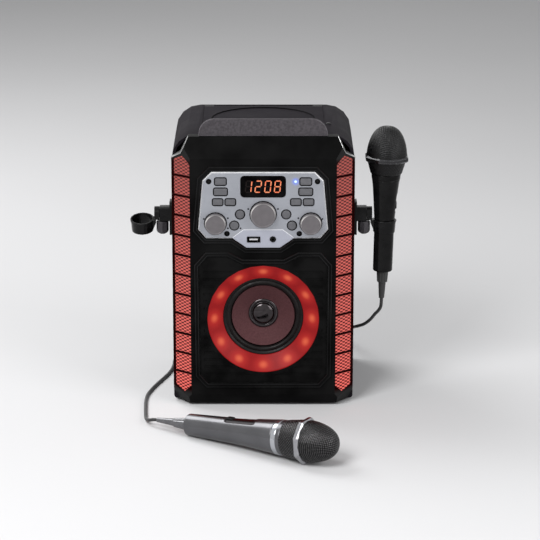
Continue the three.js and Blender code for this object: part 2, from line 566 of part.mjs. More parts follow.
// Control panel and all that it carries
const keyWidthOf = (key) => keySize[key.width] / 2;
const keyHeightOf = (key) => keySize[key.height] / 2;
const keyBox = (key, extra) => rectangle(
  panelX(key.x) - keyWidthOf(key) - extra, panelX(key.x) + keyWidthOf(key) + extra,
  panelZ(key.y) - keyHeightOf(key) - extra, panelZ(key.y) + keyHeightOf(key) + extra);
const keyOutline = (key, extra = 0) => rounded(keyBox(key, extra), button.radius, 1);
const displayOutline = (extra) => rounded(rectangle(
  -displayHole.width / 2 - extra, displayHole.width / 2 + extra,
  panelTop - displayHole.drop - displayHole.height / 2 - extra,
  panelTop - displayHole.drop + displayHole.height / 2 + extra), displayHole.radius);
const usbZ = panelTop - usb.drop;
const auxZ = panelTop - aux.drop;
const usbOutline = (extra) => rectangle(panelX(socketShares.usb) - usb.width / 2 - extra,
  panelX(socketShares.usb) + usb.width / 2 + extra, usbZ - usb.height / 2 - extra, usbZ + usb.height / 2 + extra);

function controlPanel() {
  const geometry = new THREE.ExtrudeGeometry(rounded(panelOutline), {
    depth: panel.thickness - 2 * panel.bevel, bevelThickness: panel.bevel, bevelSize: panel.bevel,
    bevelOffset: -panel.bevel, bevelSegments: 1,
  }).rotateX(Math.PI / 2).translate(0, panelBack - panel.bevel, 0);
  let body = joined(solid(geometry), slab(panelOutline, panelBack - panel.bevel, panelBack));
  const ridge = panelTop - pod.ridgeDrop;
  const foot = panelTop - panel.height - overrun;
  const slope = pod.fall / (panel.height - pod.ridgeDrop);
  const wedge = beam([
    [panelFace, ridge], [panelFace - overrun, ridge], [panelFace - overrun, foot],
    [panelFace + slope * (ridge - foot), foot],
  ], -panel.half, panel.half);
  const [tip, shoulderPoint] = panelOutline;
  const facetOutline = mirrored([[tip[0], foot], [shoulderPoint[0] + overrun, shoulderPoint[1] - overrun],
    [shoulderPoint[0], shoulderPoint[1]], [pod.topHalf, ridge]]);
  body = without(body, wedge.intersect(slab(facetOutline, panelFace - 2 * overrun, panelBack)));
  const through = [panelFace - overrun, panelBack + overrun];
  body = without(body, keyShares.map((key) => slab(keyOutline(key, gap), ...through)));
  body = without(body, roundKeyShares.map((key) =>
    rodBack(keySize.round + gap, ...through, panelX(key.x), panelZ(key.y))));
  body = without(body, knobShares.map((key) => rodBack(knob.shaft + gap, ...through, panelX(key.x), panelZ(key.y))));
  body = without(body, slab(displayOutline(gap), ...through), slab(usbOutline(usb.wall + gap), ...through),
    rodBack(aux.radius + gap, ...through, panelX(socketShares.aux), auxZ));
  body = without(body, rodBack(led.radius, ...through, panelX(socketShares.led[0]), panelZ(socketShares.led[1])));
  for (const hand of [-1, 1]) {
    for (const [x, y] of screwShares) {
      body = joined(body, rodBack(board.standoff, panelBack - gap, board.front - gap, hand * panelX(x), panelZ(y),
        tinySides));
      body = without(body, rodBack(screwHole.radius, panelFace - overrun, panelFace + screwHole.depth,
        hand * panelX(x), panelZ(y), tinySides));
    }
  }
  return piece('control_panel', body, silver);
}

function displayWindow() {
  const front = panelFace + displayHole.recess;
  return piece('display_window', slab(displayOutline(0), front, front + displayHole.thickness), glossBlack);
}

function controlBoard() {
  const outline = rectangle(board.sideInset - panel.half, panel.half - board.sideInset,
    panelTop - panel.height + board.bottomInset, panelTop - board.topInset);
  const plate = slab(rounded(outline, cabinet.cornerRadius), board.front, board.front + board.thickness);
  const module = slab(displayOutline(-2 * gap), board.front - board.module, board.front + gap);
  const cell = displayHole.width / readoutShare.digits;
  const [digitWidth, digitHeight] = [readoutShare.width * cell, readoutShare.height * displayHole.height];
  const low = panelTop - displayHole.drop - digitHeight / 2;
  const readout = Array.from({ length: readoutShare.digits }, (_, i) => {
    const left = cell * (i - readoutShare.digits / 2) + (cell - digitWidth) / 2;
    return slab(rectangle(left, left + digitWidth, low, low + digitHeight), board.front - board.module - gap,
      board.front);
  });
  return piece('control_board', joined(plate, module, readout), green);
}

function pushKey(key) {
  const front = panelFace - button.proud;
  const cap = new THREE.ExtrudeGeometry(keyOutline(key), {
    depth: panelBack - front - 2 * button.crown, bevelThickness: button.crown, bevelSize: button.crown,
    bevelOffset: -button.crown, bevelSegments: 1,
  }).rotateX(Math.PI / 2).translate(0, panelBack - button.crown, 0);
  const flange = slab(keyBox(key, button.flange), panelBack + gap, panelBack + gap + button.flangeThickness);
  const stem = rodBack(button.stem, panelBack - button.crown * 2, board.front - button.travel - gap,
    panelX(key.x), panelZ(key.y), tinySides);
  return piece(key.name, joined(solid(cap), flange, stem), midGray);
}

function roundKey(key) {
  const front = panelFace - button.proud;
  const { round } = keySize;
  const flangeAt = panelBack + gap;
  const body = turnedBack([
    [0, front], [round - button.crown, front], [round, front + button.crown], [round, flangeAt],
    [round + button.flange, flangeAt], [round + button.flange, flangeAt + button.flangeThickness],
    [button.stem, flangeAt + button.flangeThickness], [button.stem, board.front - button.travel - gap],
    [0, board.front - button.travel - gap],
  ], smallSides, panelX(key.x), panelZ(key.y));
  return piece(key.name, body, midGray);
}

function rotaryKnob(key) {
  const radius = knob[key.size];
  const back = panelFace - knob.lift;
  const front = back - knob.height;
  const body = turnedBack([
    [0, front + knob.dish], [radius - 3 * knob.rim, front + knob.dish], [radius - 2 * knob.rim, front],
    [radius - knob.rim, front], [radius, front + knob.rim], [radius, back], [knob.shaft, back],
    [knob.shaft, board.front - gap], [0, board.front - gap],
  ], midSides, panelX(key.x), panelZ(key.y));
  const mark = slab(rectangle(panelX(key.x) - knob.mark / 2, panelX(key.x) + knob.mark / 2,
    panelZ(key.y) + radius / 2, panelZ(key.y) + radius - 2 * knob.rim), front + knob.dish / 3, back);
  return piece(key.name, joined(body, mark), warmGray);
}

function usbSocket() {
  const front = panelFace - usb.proud;
  const body = without(slab(usbOutline(usb.wall), front, front + usb.depth),
    slab(usbOutline(0), front - overrun, front + usb.depth - usb.wall));
  return piece('usb_socket', body, steel);
}

function auxSocket() {
  const front = panelFace - aux.proud;
  const body = without(rodBack(aux.radius, front, front + aux.depth, panelX(socketShares.aux), auxZ),
    rodBack(aux.bore, front - overrun, front + aux.depth - aux.bore, panelX(socketShares.aux), auxZ));
  return piece('aux_socket', body, black);
}

// Loudspeaker: the grille, the lit funnel ring, the basket with its magnet, the cone and its cap
function speakerGrille() {
  const back = grille.front + grille.thickness;
  const plate = without(slab(grilleOutline, grille.front, back),
    rodBack(speaker.ring + gap, -overrun, shell.wall + overrun, 0, speakerZ, ringSides));
  const margin = grille.pitch;
  const rows = Math.floor((grilleTop - grilleBottom - 2 * margin) / grille.pitch);
  const bars = Array.from({ length: rows }, (_, i) => {
    const low = grilleBottom + margin + i * grille.pitch;
    return slab(rectangle(-grilleHalf, grilleHalf, low, low + grille.slot), -overrun, grille.front + grille.slotDepth);
  });
  const field = without(slab(grown(grilleOutline, -grille.pitch / 2), -overrun, back),
    rodBack(speaker.ring + grille.pitch / 2, -2 * overrun, back + overrun, 0, speakerZ, ringSides));
  return piece('speaker_grille', without(plate, joined(bars).intersect(field)), black);
}

const ringBack = speaker.ringFront + speaker.ringFall;

function lightRing() {
  const body = turnedBack([
    [speaker.ring, speaker.ringFront], [speaker.ring, speaker.ringFront + speaker.ringWall],
    [speaker.ringInner, ringBack + speaker.ringWall], [speaker.ringInner, ringBack],
    [speaker.ring, speaker.ringFront],
  ], ringSides, 0, speakerZ);
  return piece('light_ring', body, glowRed);
}

const gasketFront = ringBack + basket.gasket;
const coneRimY = gasketFront + cone.rimDepth;
const coneNeckY = coneRimY + cone.depth;
const basketFloor = coneNeckY + cone.depth;

function speakerFrame() {
  const inner = speaker.ringInner - gap;
  const lipOuter = cone.rim + 3 * cone.rimDepth / 2;
  const flangeFront = ringBack + speaker.ringWall + gap;
  const rollFoot = gasketFront + basket.rollDepth;
  const body = turnedBack([
    [basket.roll, rollFoot], [basket.roll + basket.rollHeight, gasketFront + basket.gasket],
    [lipOuter, gasketFront + basket.rollHeight], [lipOuter + basket.gasket, gasketFront], [inner, gasketFront],
    [inner, flangeFront], [basket.flange, flangeFront], [basket.flange, flangeFront + basket.flangeThickness],
    [magnet.radius, basketFloor], [magnet.radius, basketFloor + magnet.thickness],
    [0, basketFloor + magnet.thickness], [0, basketFloor], [magnet.neck, basketFloor],
    [basket.roll + basket.rollHeight, rollFoot + basket.rollHeight], [basket.roll, rollFoot],
  ], ringSides, 0, speakerZ);
  return piece('speaker_frame', body, rubber);
}

function speakerCone() {
  const { rim, neck, wall } = cone;
  const body = turnedBack([
    [0, coneNeckY], [neck, coneNeckY], [rim - wall, coneRimY], [rim, coneRimY],
    [rim, coneRimY + wall], [neck + wall, coneNeckY + 3 * wall], [0, coneNeckY + 3 * wall],
  ], ringSides, 0, speakerZ);
  return piece('speaker_cone', body, brown);
}

function dustCap() {
  const foot = coneNeckY - gap;
  const rise = Array.from({ length: roundSteps }, (_, k) => {
    const angle = (Math.PI / 2) * (1 - k / roundSteps);
    return [cap.dome * Math.cos(angle), foot - cap.ringHeight - (cap.height - cap.ringHeight) * Math.sin(angle)];
  });
  const body = turnedBack([...rise, [cap.dome, foot - cap.ringHeight], [cap.ring, foot - cap.ringHeight],
    [cap.ring, foot], [0, foot]], midSides, 0, speakerZ);
  return piece('dust_cap', body, chrome);
}

// Back: the jack plate with its inlet and line jacks, and the two microphone sockets
const jackFront = cabinet.depth - gap - jack.thickness;
const socketZ = base + jack.centre + micSocket.rise;

function jackPlate() {
  const low = base + jack.centre - jack.height / 2;
  const z = base + jack.centre;
  let body = slab(rounded(rectangle(-jack.width / 2, jack.width / 2, low, low + jack.height), jack.radius),
    jackFront, jackFront + jack.thickness);
  for (const hand of [-1, 1]) {
    body = without(body, rodBack(micSocket.sleeve + gap, jackFront - overrun, cabinet.depth + overrun,
      hand * micSocket.spread, socketZ));
    const x = avJack.x + hand * avJack.pitch / 2;
    body = joined(body, rodBack(avJack.radius, jackFront, cabinet.depth + avJack.proud, x, z + avJack.rise,
      tinySides));
    body = without(body, rodBack(avJack.inner, jackFront + avJack.inner, cabinet.depth + avJack.proud + overrun,
      x, z + avJack.rise, tinySides));
  }
  body = joined(body, rodBack(inlet.boss, cabinet.depth - inlet.depth, jackFront + gap, inlet.x, z + inlet.rise));
  body = without(body, rodBack(inlet.bore, cabinet.depth - inlet.depth + jack.thickness, cabinet.depth + overrun,
    inlet.x, z + inlet.rise));
  return piece('jack_plate', body, black);
}

function microphoneSocket(name, hand) {
  const front = cabinet.depth - micSocket.depth;
  const nutFoot = jackFront + jack.thickness + gap;
  const nutTop = nutFoot + micSocket.nutHeight;
  const profile = [
    [0, front], [micSocket.sleeve, front], [micSocket.sleeve, nutFoot], [micSocket.nut, nutFoot],
    [micSocket.nut, nutTop - gap], [micSocket.nut - gap, nutTop], [micSocket.bore, nutTop],
    [micSocket.bore, front + jack.thickness], [0, front + jack.thickness],
  ];
  return piece(name, turnedBack(profile, smallSides, hand * micSocket.spread, socketZ), steel);
}

// Microphone holders: a plate with a clamp block, a tilting arm with its cup, and the thumb knob under it
const acrossSide = (hand, near, far) => [hand * near, hand * far].sort((a, b) => a - b);
const plateSide = cabinet.half + gap;
const blockSide = plateSide + holder.plateThickness;
const flangeSide = blockSide + clamp.length;
const flangeEnd = flangeSide + gap + arm.width;
const cupRimZ = holder.height - cup.drop;
const cupX = cabinet.half + cup.out;
const thumbX = cabinet.half + thumb.out;

function holderPlate(name, hand) {
  const { depth, height } = holder;
  const plate = beam(rounded(rectangle(depth - holder.plateWidth / 2, depth + holder.plateWidth / 2,
    height - holder.plateBelow, height + holder.plateAbove), cabinet.cornerRadius),
  ...acrossSide(hand, plateSide, blockSide));
  const block = beam(rounded(rectangle(depth - clamp.half, depth + clamp.half,
    height - clamp.below, height + clamp.above), cabinet.cornerRadius / 2, 3),
  ...acrossSide(hand, blockSide - gap, flangeSide));
  const bore = rodAcross(clamp.bore, ...acrossSide(hand, flangeSide - clamp.boreDepth, flangeSide + overrun),
    depth, height);
  const screwWay = rodUp(thumb.screw + gap, height - clamp.below - overrun, height, hand * thumbX, depth);
  return piece(name, without(joined(plate, block), bore, screwWay), black);
}

// The arm stands at the pivot, with the pivot as its own origin.
function cupArm(name, hand, tilt) {
  const pivot = new THREE.Group();
  pivot.position.set(0, holder.depth, holder.height);
  pivot.rotation.x = THREE.MathUtils.degToRad(tilt);
  machine.add(pivot);
  const shaft = rodAcross(clamp.bore - gap,
    ...acrossSide(hand, flangeSide - clamp.boreDepth + gap, flangeSide + 2 * gap), 0, 0);
  const flange = rodAcross(arm.flange, ...acrossSide(hand, flangeSide + gap, flangeEnd), 0, 0, midSides);
  const webInner = flangeSide + arm.webGap;
  const cupFoot = -cup.drop - cup.height;
  const webEnd = cupX - cup.bottom;
  const web = slab([
    [webInner, 0], [flangeEnd, 0], [flangeEnd, gap - cup.drop], [webEnd + gap, -cup.drop - gap],
    [webEnd + gap, cupFoot + cup.rimHeight], [webInner, -arm.flange - cup.rimHeight],
  ].map(([x, z]) => [hand * x, z]), -arm.web, arm.web);
  const profile = [
    [cup.bore, cupFoot], [cup.bottom, cupFoot], [cup.top, -cup.drop - cup.rimHeight],
    [cup.rim, -cup.drop - cup.rimHeight], [cup.rim, -cup.drop - gap], [cup.rim - gap, -cup.drop],
    [cup.bore, -cup.drop], [cup.bore, cupFoot],
  ];
  const lean = THREE.MathUtils.degToRad(cupLean) * hand;
  const shell = solid(spun(profile, midSides).rotateX(Math.PI / 2).translate(0, 0, cup.drop).rotateY(lean)
    .translate(hand * cupX, 0, -cup.drop));
  const bore = solid(spun([[0, cupFoot - overrun], [cup.bore, cupFoot - overrun], [cup.bore, overrun], [0, overrun]],
    midSides).rotateX(Math.PI / 2).translate(0, 0, cup.drop).rotateY(lean).translate(hand * cupX, 0, -cup.drop));
  return piece(name, joined(shaft, flange, without(joined(web, shell), bore)), black, pivot);
}

function thumbKnob(name, hand) {
  const high = -clamp.below - 2 * gap;
  const low = high - thumb.height;
  const edge = Array.from({ length: 2 * thumb.lobes }, (_, i) => {
    const angle = (Math.PI * i) / thumb.lobes;
    const radius = thumb.radius - (i % 2) * thumb.dip;
    return [radius * Math.cos(angle), radius * Math.sin(angle)];
  });
  const { crown } = thumb;
  const grip = solid(extruded(edge, thumb.height).translate(0, 0, low)).intersect(turnedUp([
    [0, low], [thumb.radius - 2 * crown, low], [thumb.radius - crown / 2, low + crown],
    [thumb.radius, low + 2 * crown], [thumb.radius, high - crown / 2], [thumb.radius - crown / 2, high], [0, high],
  ], midSides));
  const screw = rodUp(thumb.screw, high - gap, -clamp.bore - gap);
  const mesh = piece(name, joined(grip, screw), midGray);
  mesh.position.set(hand * thumbX, holder.depth, holder.height);
  return mesh;
}

// Microphones, turned about their own axis, which runs up to the head
function headBody(foot, lower, lowerTop, lowerHeight, domeHeight) {
  const bandFoot = foot + lowerHeight;
  const bandTop = bandFoot + head.bandHeight;
  const dome = Array.from({ length: 2 * roundSteps }, (_, k) => {
    const angle = (Math.PI / 2) * (k / (2 * roundSteps));
    return [head.dome * Math.cos(angle) ** domeBulge.across, bandTop + domeHeight * Math.sin(angle) ** domeBulge.along];
  });
  const mesh = turnedUp([
    [0, foot], [lower, foot], [lowerTop, bandFoot - gap], [head.dome, bandFoot], ...dome, [0, bandTop + domeHeight],
  ], midSides);
  const band = solid(new THREE.CylinderGeometry(head.band, head.band, head.bandHeight, 8)
    .rotateX(Math.PI / 2).rotateZ(Math.PI / 8).translate(0, 0, bandFoot + head.bandHeight / 2));
  return joined(mesh, band);
}

function reliefBody(high, sizes) {
  const { collar, collarFoot, collarLength, top: bootTop, tip, length } = sizes;
  const bootHigh = high - collarLength;
  return turnedUp([
    [0, bootHigh - length], [tip, bootHigh - length], [bootTop, bootHigh], [collarFoot, bootHigh], [collar, high],
    [0, high],
  ], tinySides);
}

function switchSeat(at, radius, depth) {
  return slab(rounded(rectangle(-micSwitch.width / 2 - depth, micSwitch.width / 2 + depth,
    at - micSwitch.length / 2 - depth, at + micSwitch.length / 2 + depth), micSwitch.width / 4, 3),
  -radius - overrun, micSwitch.seat - radius);
}

// The switch's own slider, on the handle's front; the plate round it is part of the handle.
function switchSlider(at, radius) {
  const seat = micSwitch.seat - radius;
  const low = at - micSwitch.travel / 2 - micSwitch.thumbLength / 2;
  return slab(rounded(rectangle(-micSwitch.thumb, micSwitch.thumb, low, low + micSwitch.thumbLength),
    micSwitch.thumb / 2, 3), seat - micSwitch.rise, seat - gap);
}

function blackMicrophone() {
  const stand = new THREE.Group();
  stand.position.set(cupX, holder.depth, cupRimZ);
  stand.rotation.y = THREE.MathUtils.degToRad(cupLean);
  machine.add(stand);
  const turned = new THREE.Group();
  turned.rotation.z = Math.PI / 2;
  stand.add(turned);
  const { tail, tailRadius, seat, flare, flareAt, neck, collar, collarAt, end } = blackHandle;
  const profile = [
    [0, tail], [tailRadius - gap, tail], [tailRadius, tail + gap], [seat - 2 * gap, -cup.height], [seat - gap, 0],
    [seat, gap], [flare, flareAt], [neck, collarAt / 2], [collar - 2 * gap, collarAt - gap],
    [collar - gap, collarAt], [collar, collarAt + 2 * gap], [collar + gap, end], [0, end],
  ];
  const body = turnedUp(profile, midSides);
  piece('black_mic_handle', without(body, switchSeat(blackSwitchAt, flare, 0)), glossBlack, turned);
  piece('black_mic_switch', switchSlider(blackSwitchAt, flare), black, turned);
  piece('black_mic_head', headBody(end + gap, head.lower, head.lowerTop, head.lowerHeight, head.domeHeight),
    black, turned);
  piece('black_mic_strain_relief', reliefBody(tail - gap, relief), rubber, turned);
  return stand;
}

const silverReliefEnd = silverRelief.collarLength + silverRelief.length + gap;
const silverPitch = Math.atan2(head.band * Math.cos(Math.PI / 8) - silverHandle.tailRadius,
  silverHandle.end + gap + silverHead.lowerHeight);

function silverMicrophone() {
  const place = new THREE.Group();
  place.position.set(silverPlace.x, silverPlace.y, silverHandle.tailRadius * Math.cos(silverPitch));
  place.rotation.z = THREE.MathUtils.degToRad(silverPlace.yaw);
  machine.add(place);
  const laid = new THREE.Group();
  laid.rotation.y = Math.PI / 2 - silverPitch;
  place.add(laid);
  const rolled = new THREE.Group();
  rolled.rotation.z = -Math.PI / 2;
  laid.add(rolled);
  const { tailRadius, mid, flare, collar, collarAt, end } = silverHandle;
  const profile = [
    [0, 0], [tailRadius - 2 * gap, 0], [tailRadius, 2 * gap], [mid, silverSwitchAt],
    [flare, (silverSwitchAt + collarAt) / 2 + overrun], [collar, collarAt], [collar + gap, collarAt + gap],
    [collar + gap, end], [0, end],
  ];
  const body = turnedUp(profile, midSides);
  piece('silver_mic_handle', without(body, switchSeat(silverSwitchAt, mid, 0)), steel, rolled);
  piece('silver_mic_switch', switchSlider(silverSwitchAt, mid), black, rolled);
  piece('silver_mic_head', headBody(end + gap, silverHead.lower, silverHead.lowerTop, silverHead.lowerHeight,
    silverHead.domeHeight), chrome, rolled);
  piece('silver_mic_strain_relief', reliefBody(-gap, silverRelief), rubber, rolled);
  return place;
}

// Cords: a stretch from each microphone to its coil, the coil, and the plug at the coil's end
const smooth = (share) => {
  const s = Math.min(1, Math.max(0, share));
  return s * s * (3 - 2 * s);
};
const coilOuter = coil.middle + (coil.pitch * coil.turns) / 2;
const coilTurns = coil.layers * coil.turns + (coil.layers - 1) * coil.swap + coil.ramp;

// Radius and height of the wound cord after a number of turns: each layer spirals in or out at a steady
// rate, the cord climbs a layer in the half turn between them, and at last it comes down outside the pile.
function woundAt(turn) {
  const span = coil.turns + coil.swap;
  const layer = Math.min(coil.layers - 1, Math.floor(turn / span));
  const within = turn - layer * span;
  const across = Math.min(within, coil.turns) * coil.pitch;
  const last = coil.layers - 1;
  const coilInner = coilOuter - coil.turns * coil.pitch;
  let radius = layer % 2 ? coilInner + across : coilOuter - across;
  let height = cord.radius + layer * coil.layer;
  const past = within - coil.turns;
  if (past > 0 && layer < last) height += coil.layer * smooth(past / coil.swap);
  if (past > 0 && layer === last) {
    radius += coil.outset * smooth((2 * past) / coil.ramp);
    height += (plug.radius - height) * smooth((past / coil.ramp - coilLandingShare) / (1 - coilLandingShare));
  }
  return { radius, height };
}

function woundPath(place, stepsPerTurn) {
  const steps = Math.round(coilTurns * stepsPerTurn);
  const start = THREE.MathUtils.degToRad(place.start);
  const points = Array.from({ length: steps + 1 }, (_, i) => {
    const turn = (coilTurns * i) / steps;
    const { radius, height } = woundAt(turn);
    const angle = start + 2 * Math.PI * turn;
    return new THREE.Vector3(place.x + radius * Math.cos(angle), place.y + radius * Math.sin(angle), height);
  });
  const along = (angle) => new THREE.Vector3(-Math.sin(angle), Math.cos(angle), 0).multiplyScalar(coilMesh.lead);
  points.unshift(points[0].clone().sub(along(start)));
  points.push(points.at(-1).clone().add(along(start + 2 * Math.PI * coilTurns)));
  return points;
}

// One unbroken tube through points, its rings standing square to the way between their neighbours.
function tubeAlong(points, radius, sides) {
  const vertices = [];
  const faces = [];
  const up = new THREE.Vector3(0, 0, 1);
  points.forEach((point, i) => {
    const before = points[Math.max(0, i - 1)];
    const after = points[Math.min(points.length - 1, i + 1)];
    const way = after.clone().sub(before).normalize();
    const side = new THREE.Vector3().crossVectors(way, up).normalize();
    const over = new THREE.Vector3().crossVectors(side, way);
    for (let k = 0; k < sides; k++) {
      const angle = (2 * Math.PI * (k + 0.5)) / sides;
      const ring = point.clone().addScaledVector(side, radius * Math.cos(angle))
        .addScaledVector(over, radius * Math.sin(angle));
      vertices.push(ring.x, ring.y, ring.z);
      if (i) {
        const [a, b] = [(i - 1) * sides + k, (i - 1) * sides + ((k + 1) % sides)];
        faces.push(a, b, b + sides, a, b + sides, a + sides);
      }
    }
  });
  const last = (points.length - 1) * sides;
  for (let k = 1; k < sides - 1; k++) {
    faces.push(0, k + 1, k, last, last + k, last + k + 1);
  }
  const geometry = new THREE.BufferGeometry();
  geometry.setAttribute('position', new THREE.Float32BufferAttribute(vertices, 3));
  geometry.setIndex(faces);
  return solid(geometry);
}

// The least gap between turns, measured on a finely stepped path.
function leastGap(points) {
  let least = Infinity;
  const near = Math.ceil((points.length / coilTurns) * gapCheck.skippedTurns);
  for (let i = 0; i < points.length; i++) {
    for (let j = i + near; j < points.length; j++) {
      least = Math.min(least, points[i].distanceTo(points[j]));
    }
  }
  return least - 2 * cord.radius;
}

function coiledCord(name, place) {
  const path = woundPath(place, coilMesh.steps);
  const fine = woundPath(place, gapCheck.stepsPerStep * coilMesh.steps);
  console.log(`${name}: ${coilTurns} turns, least gap between turns ${leastGap(fine).toFixed(2)} mm`);
  piece(name, tubeAlong(path, cord.radius, coilMesh.sides), rubber);
  return path;
}

function looseCord(name, points, coilPath) {
  const [lead, second] = coilPath;
  const way = second.clone().sub(lead).normalize();
  const end = lead.clone().addScaledVector(way, -gap);
  const path = new THREE.CatmullRomCurve3([...points, end.clone().addScaledVector(way, -coilMesh.lead), end],
    false, 'centripetal');
  const steps = Math.round(path.getLength() / cord.step);
  const section = new THREE.Shape(circle(0, 0, cord.radius, cord.sides).map(([x, y]) => new THREE.Vector2(x, y)));
  const geometry = new THREE.ExtrudeGeometry(section, { steps, bevelEnabled: false, extrudePath: path });
  console.log(`${name}: ${path.getLength().toFixed(0)} mm loose`);
  return piece(name, solid(geometry), rubber);
}

function jackPlug(name, coilPath) {
  const end = coilPath.at(-1);
  const way = end.clone().sub(coilPath.at(-2)).setZ(0).normalize();
  const { radius, relief: taper, grip, mouth, collar, collarLength, shank, length } = plug;
  const gripFoot = taper;
  const gripEnd = gripFoot + grip;
  const shankFoot = gripEnd + collarLength;
  const shankEnd = shankFoot + length;
  const body = turnedUp([
    [0, 0], [mouth, 0], [collar, gripFoot - gap], [radius, gripFoot + gap], [radius, gripEnd - gap],
    [collar, gripEnd], [collar, shankFoot], [shank, shankFoot], [shank, shankEnd - 2 * shank],
    [plugTip.waist, shankEnd - plugTip.groove], [plugTip.ball, shankEnd - shank], [plugTip.point, shankEnd],
    [0, shankEnd],
  ], tinySides);
  const mesh = piece(name, body, chrome);
  mesh.position.copy(end).addScaledVector(way, gap).setZ(radius);
  mesh.quaternion.setFromUnitVectors(new THREE.Vector3(0, 0, 1), way);
  return mesh;
}

// Assembly
frontCabinet();
rearCabinet();
cradleLip();
controlPanel();
displayWindow();
controlBoard();
keyShares.forEach(pushKey);
roundKeyShares.forEach(roundKey);
knobShares.forEach(rotaryKnob);
usbSocket();
auxSocket();
speakerGrille();
lightRing();
speakerFrame();
speakerCone();
dustCap();
lightStrip('light_strip_left', leftChamfer);
lightStrip('light_strip_right', rightChamfer);
discDeck();
discMechanism();
discTurntable();
pickupSled();
discLid();
openButton();
jackPlate();
microphoneSocket('microphone_socket_1', -1);
microphoneSocket('microphone_socket_2', 1);
holderPlate('holder_plate_left', -1);
holderPlate('holder_plate_right', 1);
cupArm('cup_arm_left', -1, emptyTilt);
cupArm('cup_arm_right', 1, 0);
thumbKnob('thumb_knob_left', -1);
thumbKnob('thumb_knob_right', 1);
const stand = blackMicrophone();
const laidDown = silverMicrophone();

// The box of all that isn't cord gives the origin, at the middle of its base.
machine.updateMatrixWorld(true);
const wholeBox = new THREE.Box3().setFromObject(machine, true);
const origin = wholeBox.getCenter(new THREE.Vector3()).setZ(wholeBox.min.z);

// Where each cord meets its microphone
const reliefTip = relief.collarLength + relief.length;
const blackExit = stand.localToWorld(new THREE.Vector3(0, 0, blackHandle.tail - reliefTip - 2 * gap));
const silverExit = laidDown.children[0].localToWorld(new THREE.Vector3(0, 0, -silverReliefEnd - gap));

const blackPath = coiledCord('black_mic_coil', blackCoil);
const blackWay = blackCordPoints.map(([x, y, z]) => new THREE.Vector3(cabinet.half + x, y, z));
looseCord('black_mic_cord', [blackExit, ...blackWay], blackPath);
jackPlug('black_mic_plug', blackPath);
const silverPath = coiledCord('silver_mic_coil', silverCoil);
looseCord('silver_mic_cord', [silverExit, ...silverCordPoints.map((p) => new THREE.Vector3(...p))], silverPath);
jackPlug('silver_mic_plug', silverPath);

machine.position.copy(origin).negate();

export default machine;
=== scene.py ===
"""Dresses a karaoke machine: its shells, control panel, lit loudspeaker, disc bay and two microphones.

Sizes are in millimetres from the machine's centre line, front plane and floor, and placed() moves them into
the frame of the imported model, in metres.
"""
import math

import bmesh
import bpy
import numpy as np
from bpy.props import FloatProperty, FloatVectorProperty, IntProperty, PointerProperty
from mathutils import Matrix, Vector


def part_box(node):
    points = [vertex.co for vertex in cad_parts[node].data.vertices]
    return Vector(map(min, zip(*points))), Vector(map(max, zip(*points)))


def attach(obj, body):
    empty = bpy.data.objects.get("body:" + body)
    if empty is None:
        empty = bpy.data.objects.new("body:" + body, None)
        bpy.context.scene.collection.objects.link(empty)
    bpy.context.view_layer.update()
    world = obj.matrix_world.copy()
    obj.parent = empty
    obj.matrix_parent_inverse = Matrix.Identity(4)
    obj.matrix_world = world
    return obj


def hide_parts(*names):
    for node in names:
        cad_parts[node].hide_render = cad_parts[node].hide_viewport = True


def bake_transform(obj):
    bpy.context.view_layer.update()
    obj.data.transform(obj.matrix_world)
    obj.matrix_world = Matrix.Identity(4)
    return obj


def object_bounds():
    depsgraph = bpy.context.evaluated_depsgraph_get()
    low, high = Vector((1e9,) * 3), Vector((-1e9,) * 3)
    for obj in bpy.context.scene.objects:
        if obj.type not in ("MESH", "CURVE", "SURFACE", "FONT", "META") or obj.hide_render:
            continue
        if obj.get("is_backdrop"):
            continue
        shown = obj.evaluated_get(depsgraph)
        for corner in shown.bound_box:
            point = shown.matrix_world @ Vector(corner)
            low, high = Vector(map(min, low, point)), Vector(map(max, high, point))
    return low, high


bl_info = {
    "name": "Karaoke Machine",
    "version": (1, 0, 0),
    "blender": (4, 5, 0),
    "location": "View3D > Sidebar > Karaoke",
    "description": "Dresses a karaoke machine with its disc bay, lit loudspeaker and two microphones",
    "category": "Object",
}

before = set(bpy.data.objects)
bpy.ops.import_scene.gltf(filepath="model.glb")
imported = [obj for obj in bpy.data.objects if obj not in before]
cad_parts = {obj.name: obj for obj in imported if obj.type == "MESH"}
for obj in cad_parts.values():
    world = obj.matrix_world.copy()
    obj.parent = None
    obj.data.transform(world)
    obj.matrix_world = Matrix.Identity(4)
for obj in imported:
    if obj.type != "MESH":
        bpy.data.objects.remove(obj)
CAD_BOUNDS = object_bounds()

MM = 0.001
BEAD_HEIGHT = 1.6
FRONT_LOW, FRONT_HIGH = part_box("front_cabinet")
CENTRE_LINE = (FRONT_LOW.x + FRONT_HIGH.x) / 2
FRONT_PLANE = FRONT_LOW.y + BEAD_HEIGHT * MM
TO_FRAME = np.array([CENTRE_LINE, FRONT_PLANE, 0.0])

# Places that several pieces share
PANEL_FACE = -1.5
SPEAKER_Z = 109.2
BAND_RADIUS = 26.8
CUP_X = 143.2
CUP_Y = 40.0
CUP_Z = 221.2
CUP_LEAN = math.radians(1.3)
SILVER_FOOT = 12.65
SILVER_YAW = math.radians(-33.0)
SILVER_BAND = 157.3
SILVER_PITCH = math.atan2(BAND_RADIUS * math.cos(math.pi / 8) - SILVER_FOOT, SILVER_BAND)
SILVER_TAIL = (-85.5, -94.3, SILVER_FOOT * math.cos(SILVER_PITCH))
CHAMFER_INNER = 85.0
CHAMFER_TURN = math.atan2(16.5, 22.0)
# Points closer than this, in metres, are one
SAME_PLACE = 1e-6
FLAT_WITHIN = math.radians(0.6)
# Cosines to an axis between which a face counts as on a slant, and the least sine to upright of a cord's way
SLANTED = (0.2, 0.97)
NEARLY_UPRIGHT = 1e-3
NEARLY_HALF = 0.45
LEAST_CORNER = 0.1


# Shapes

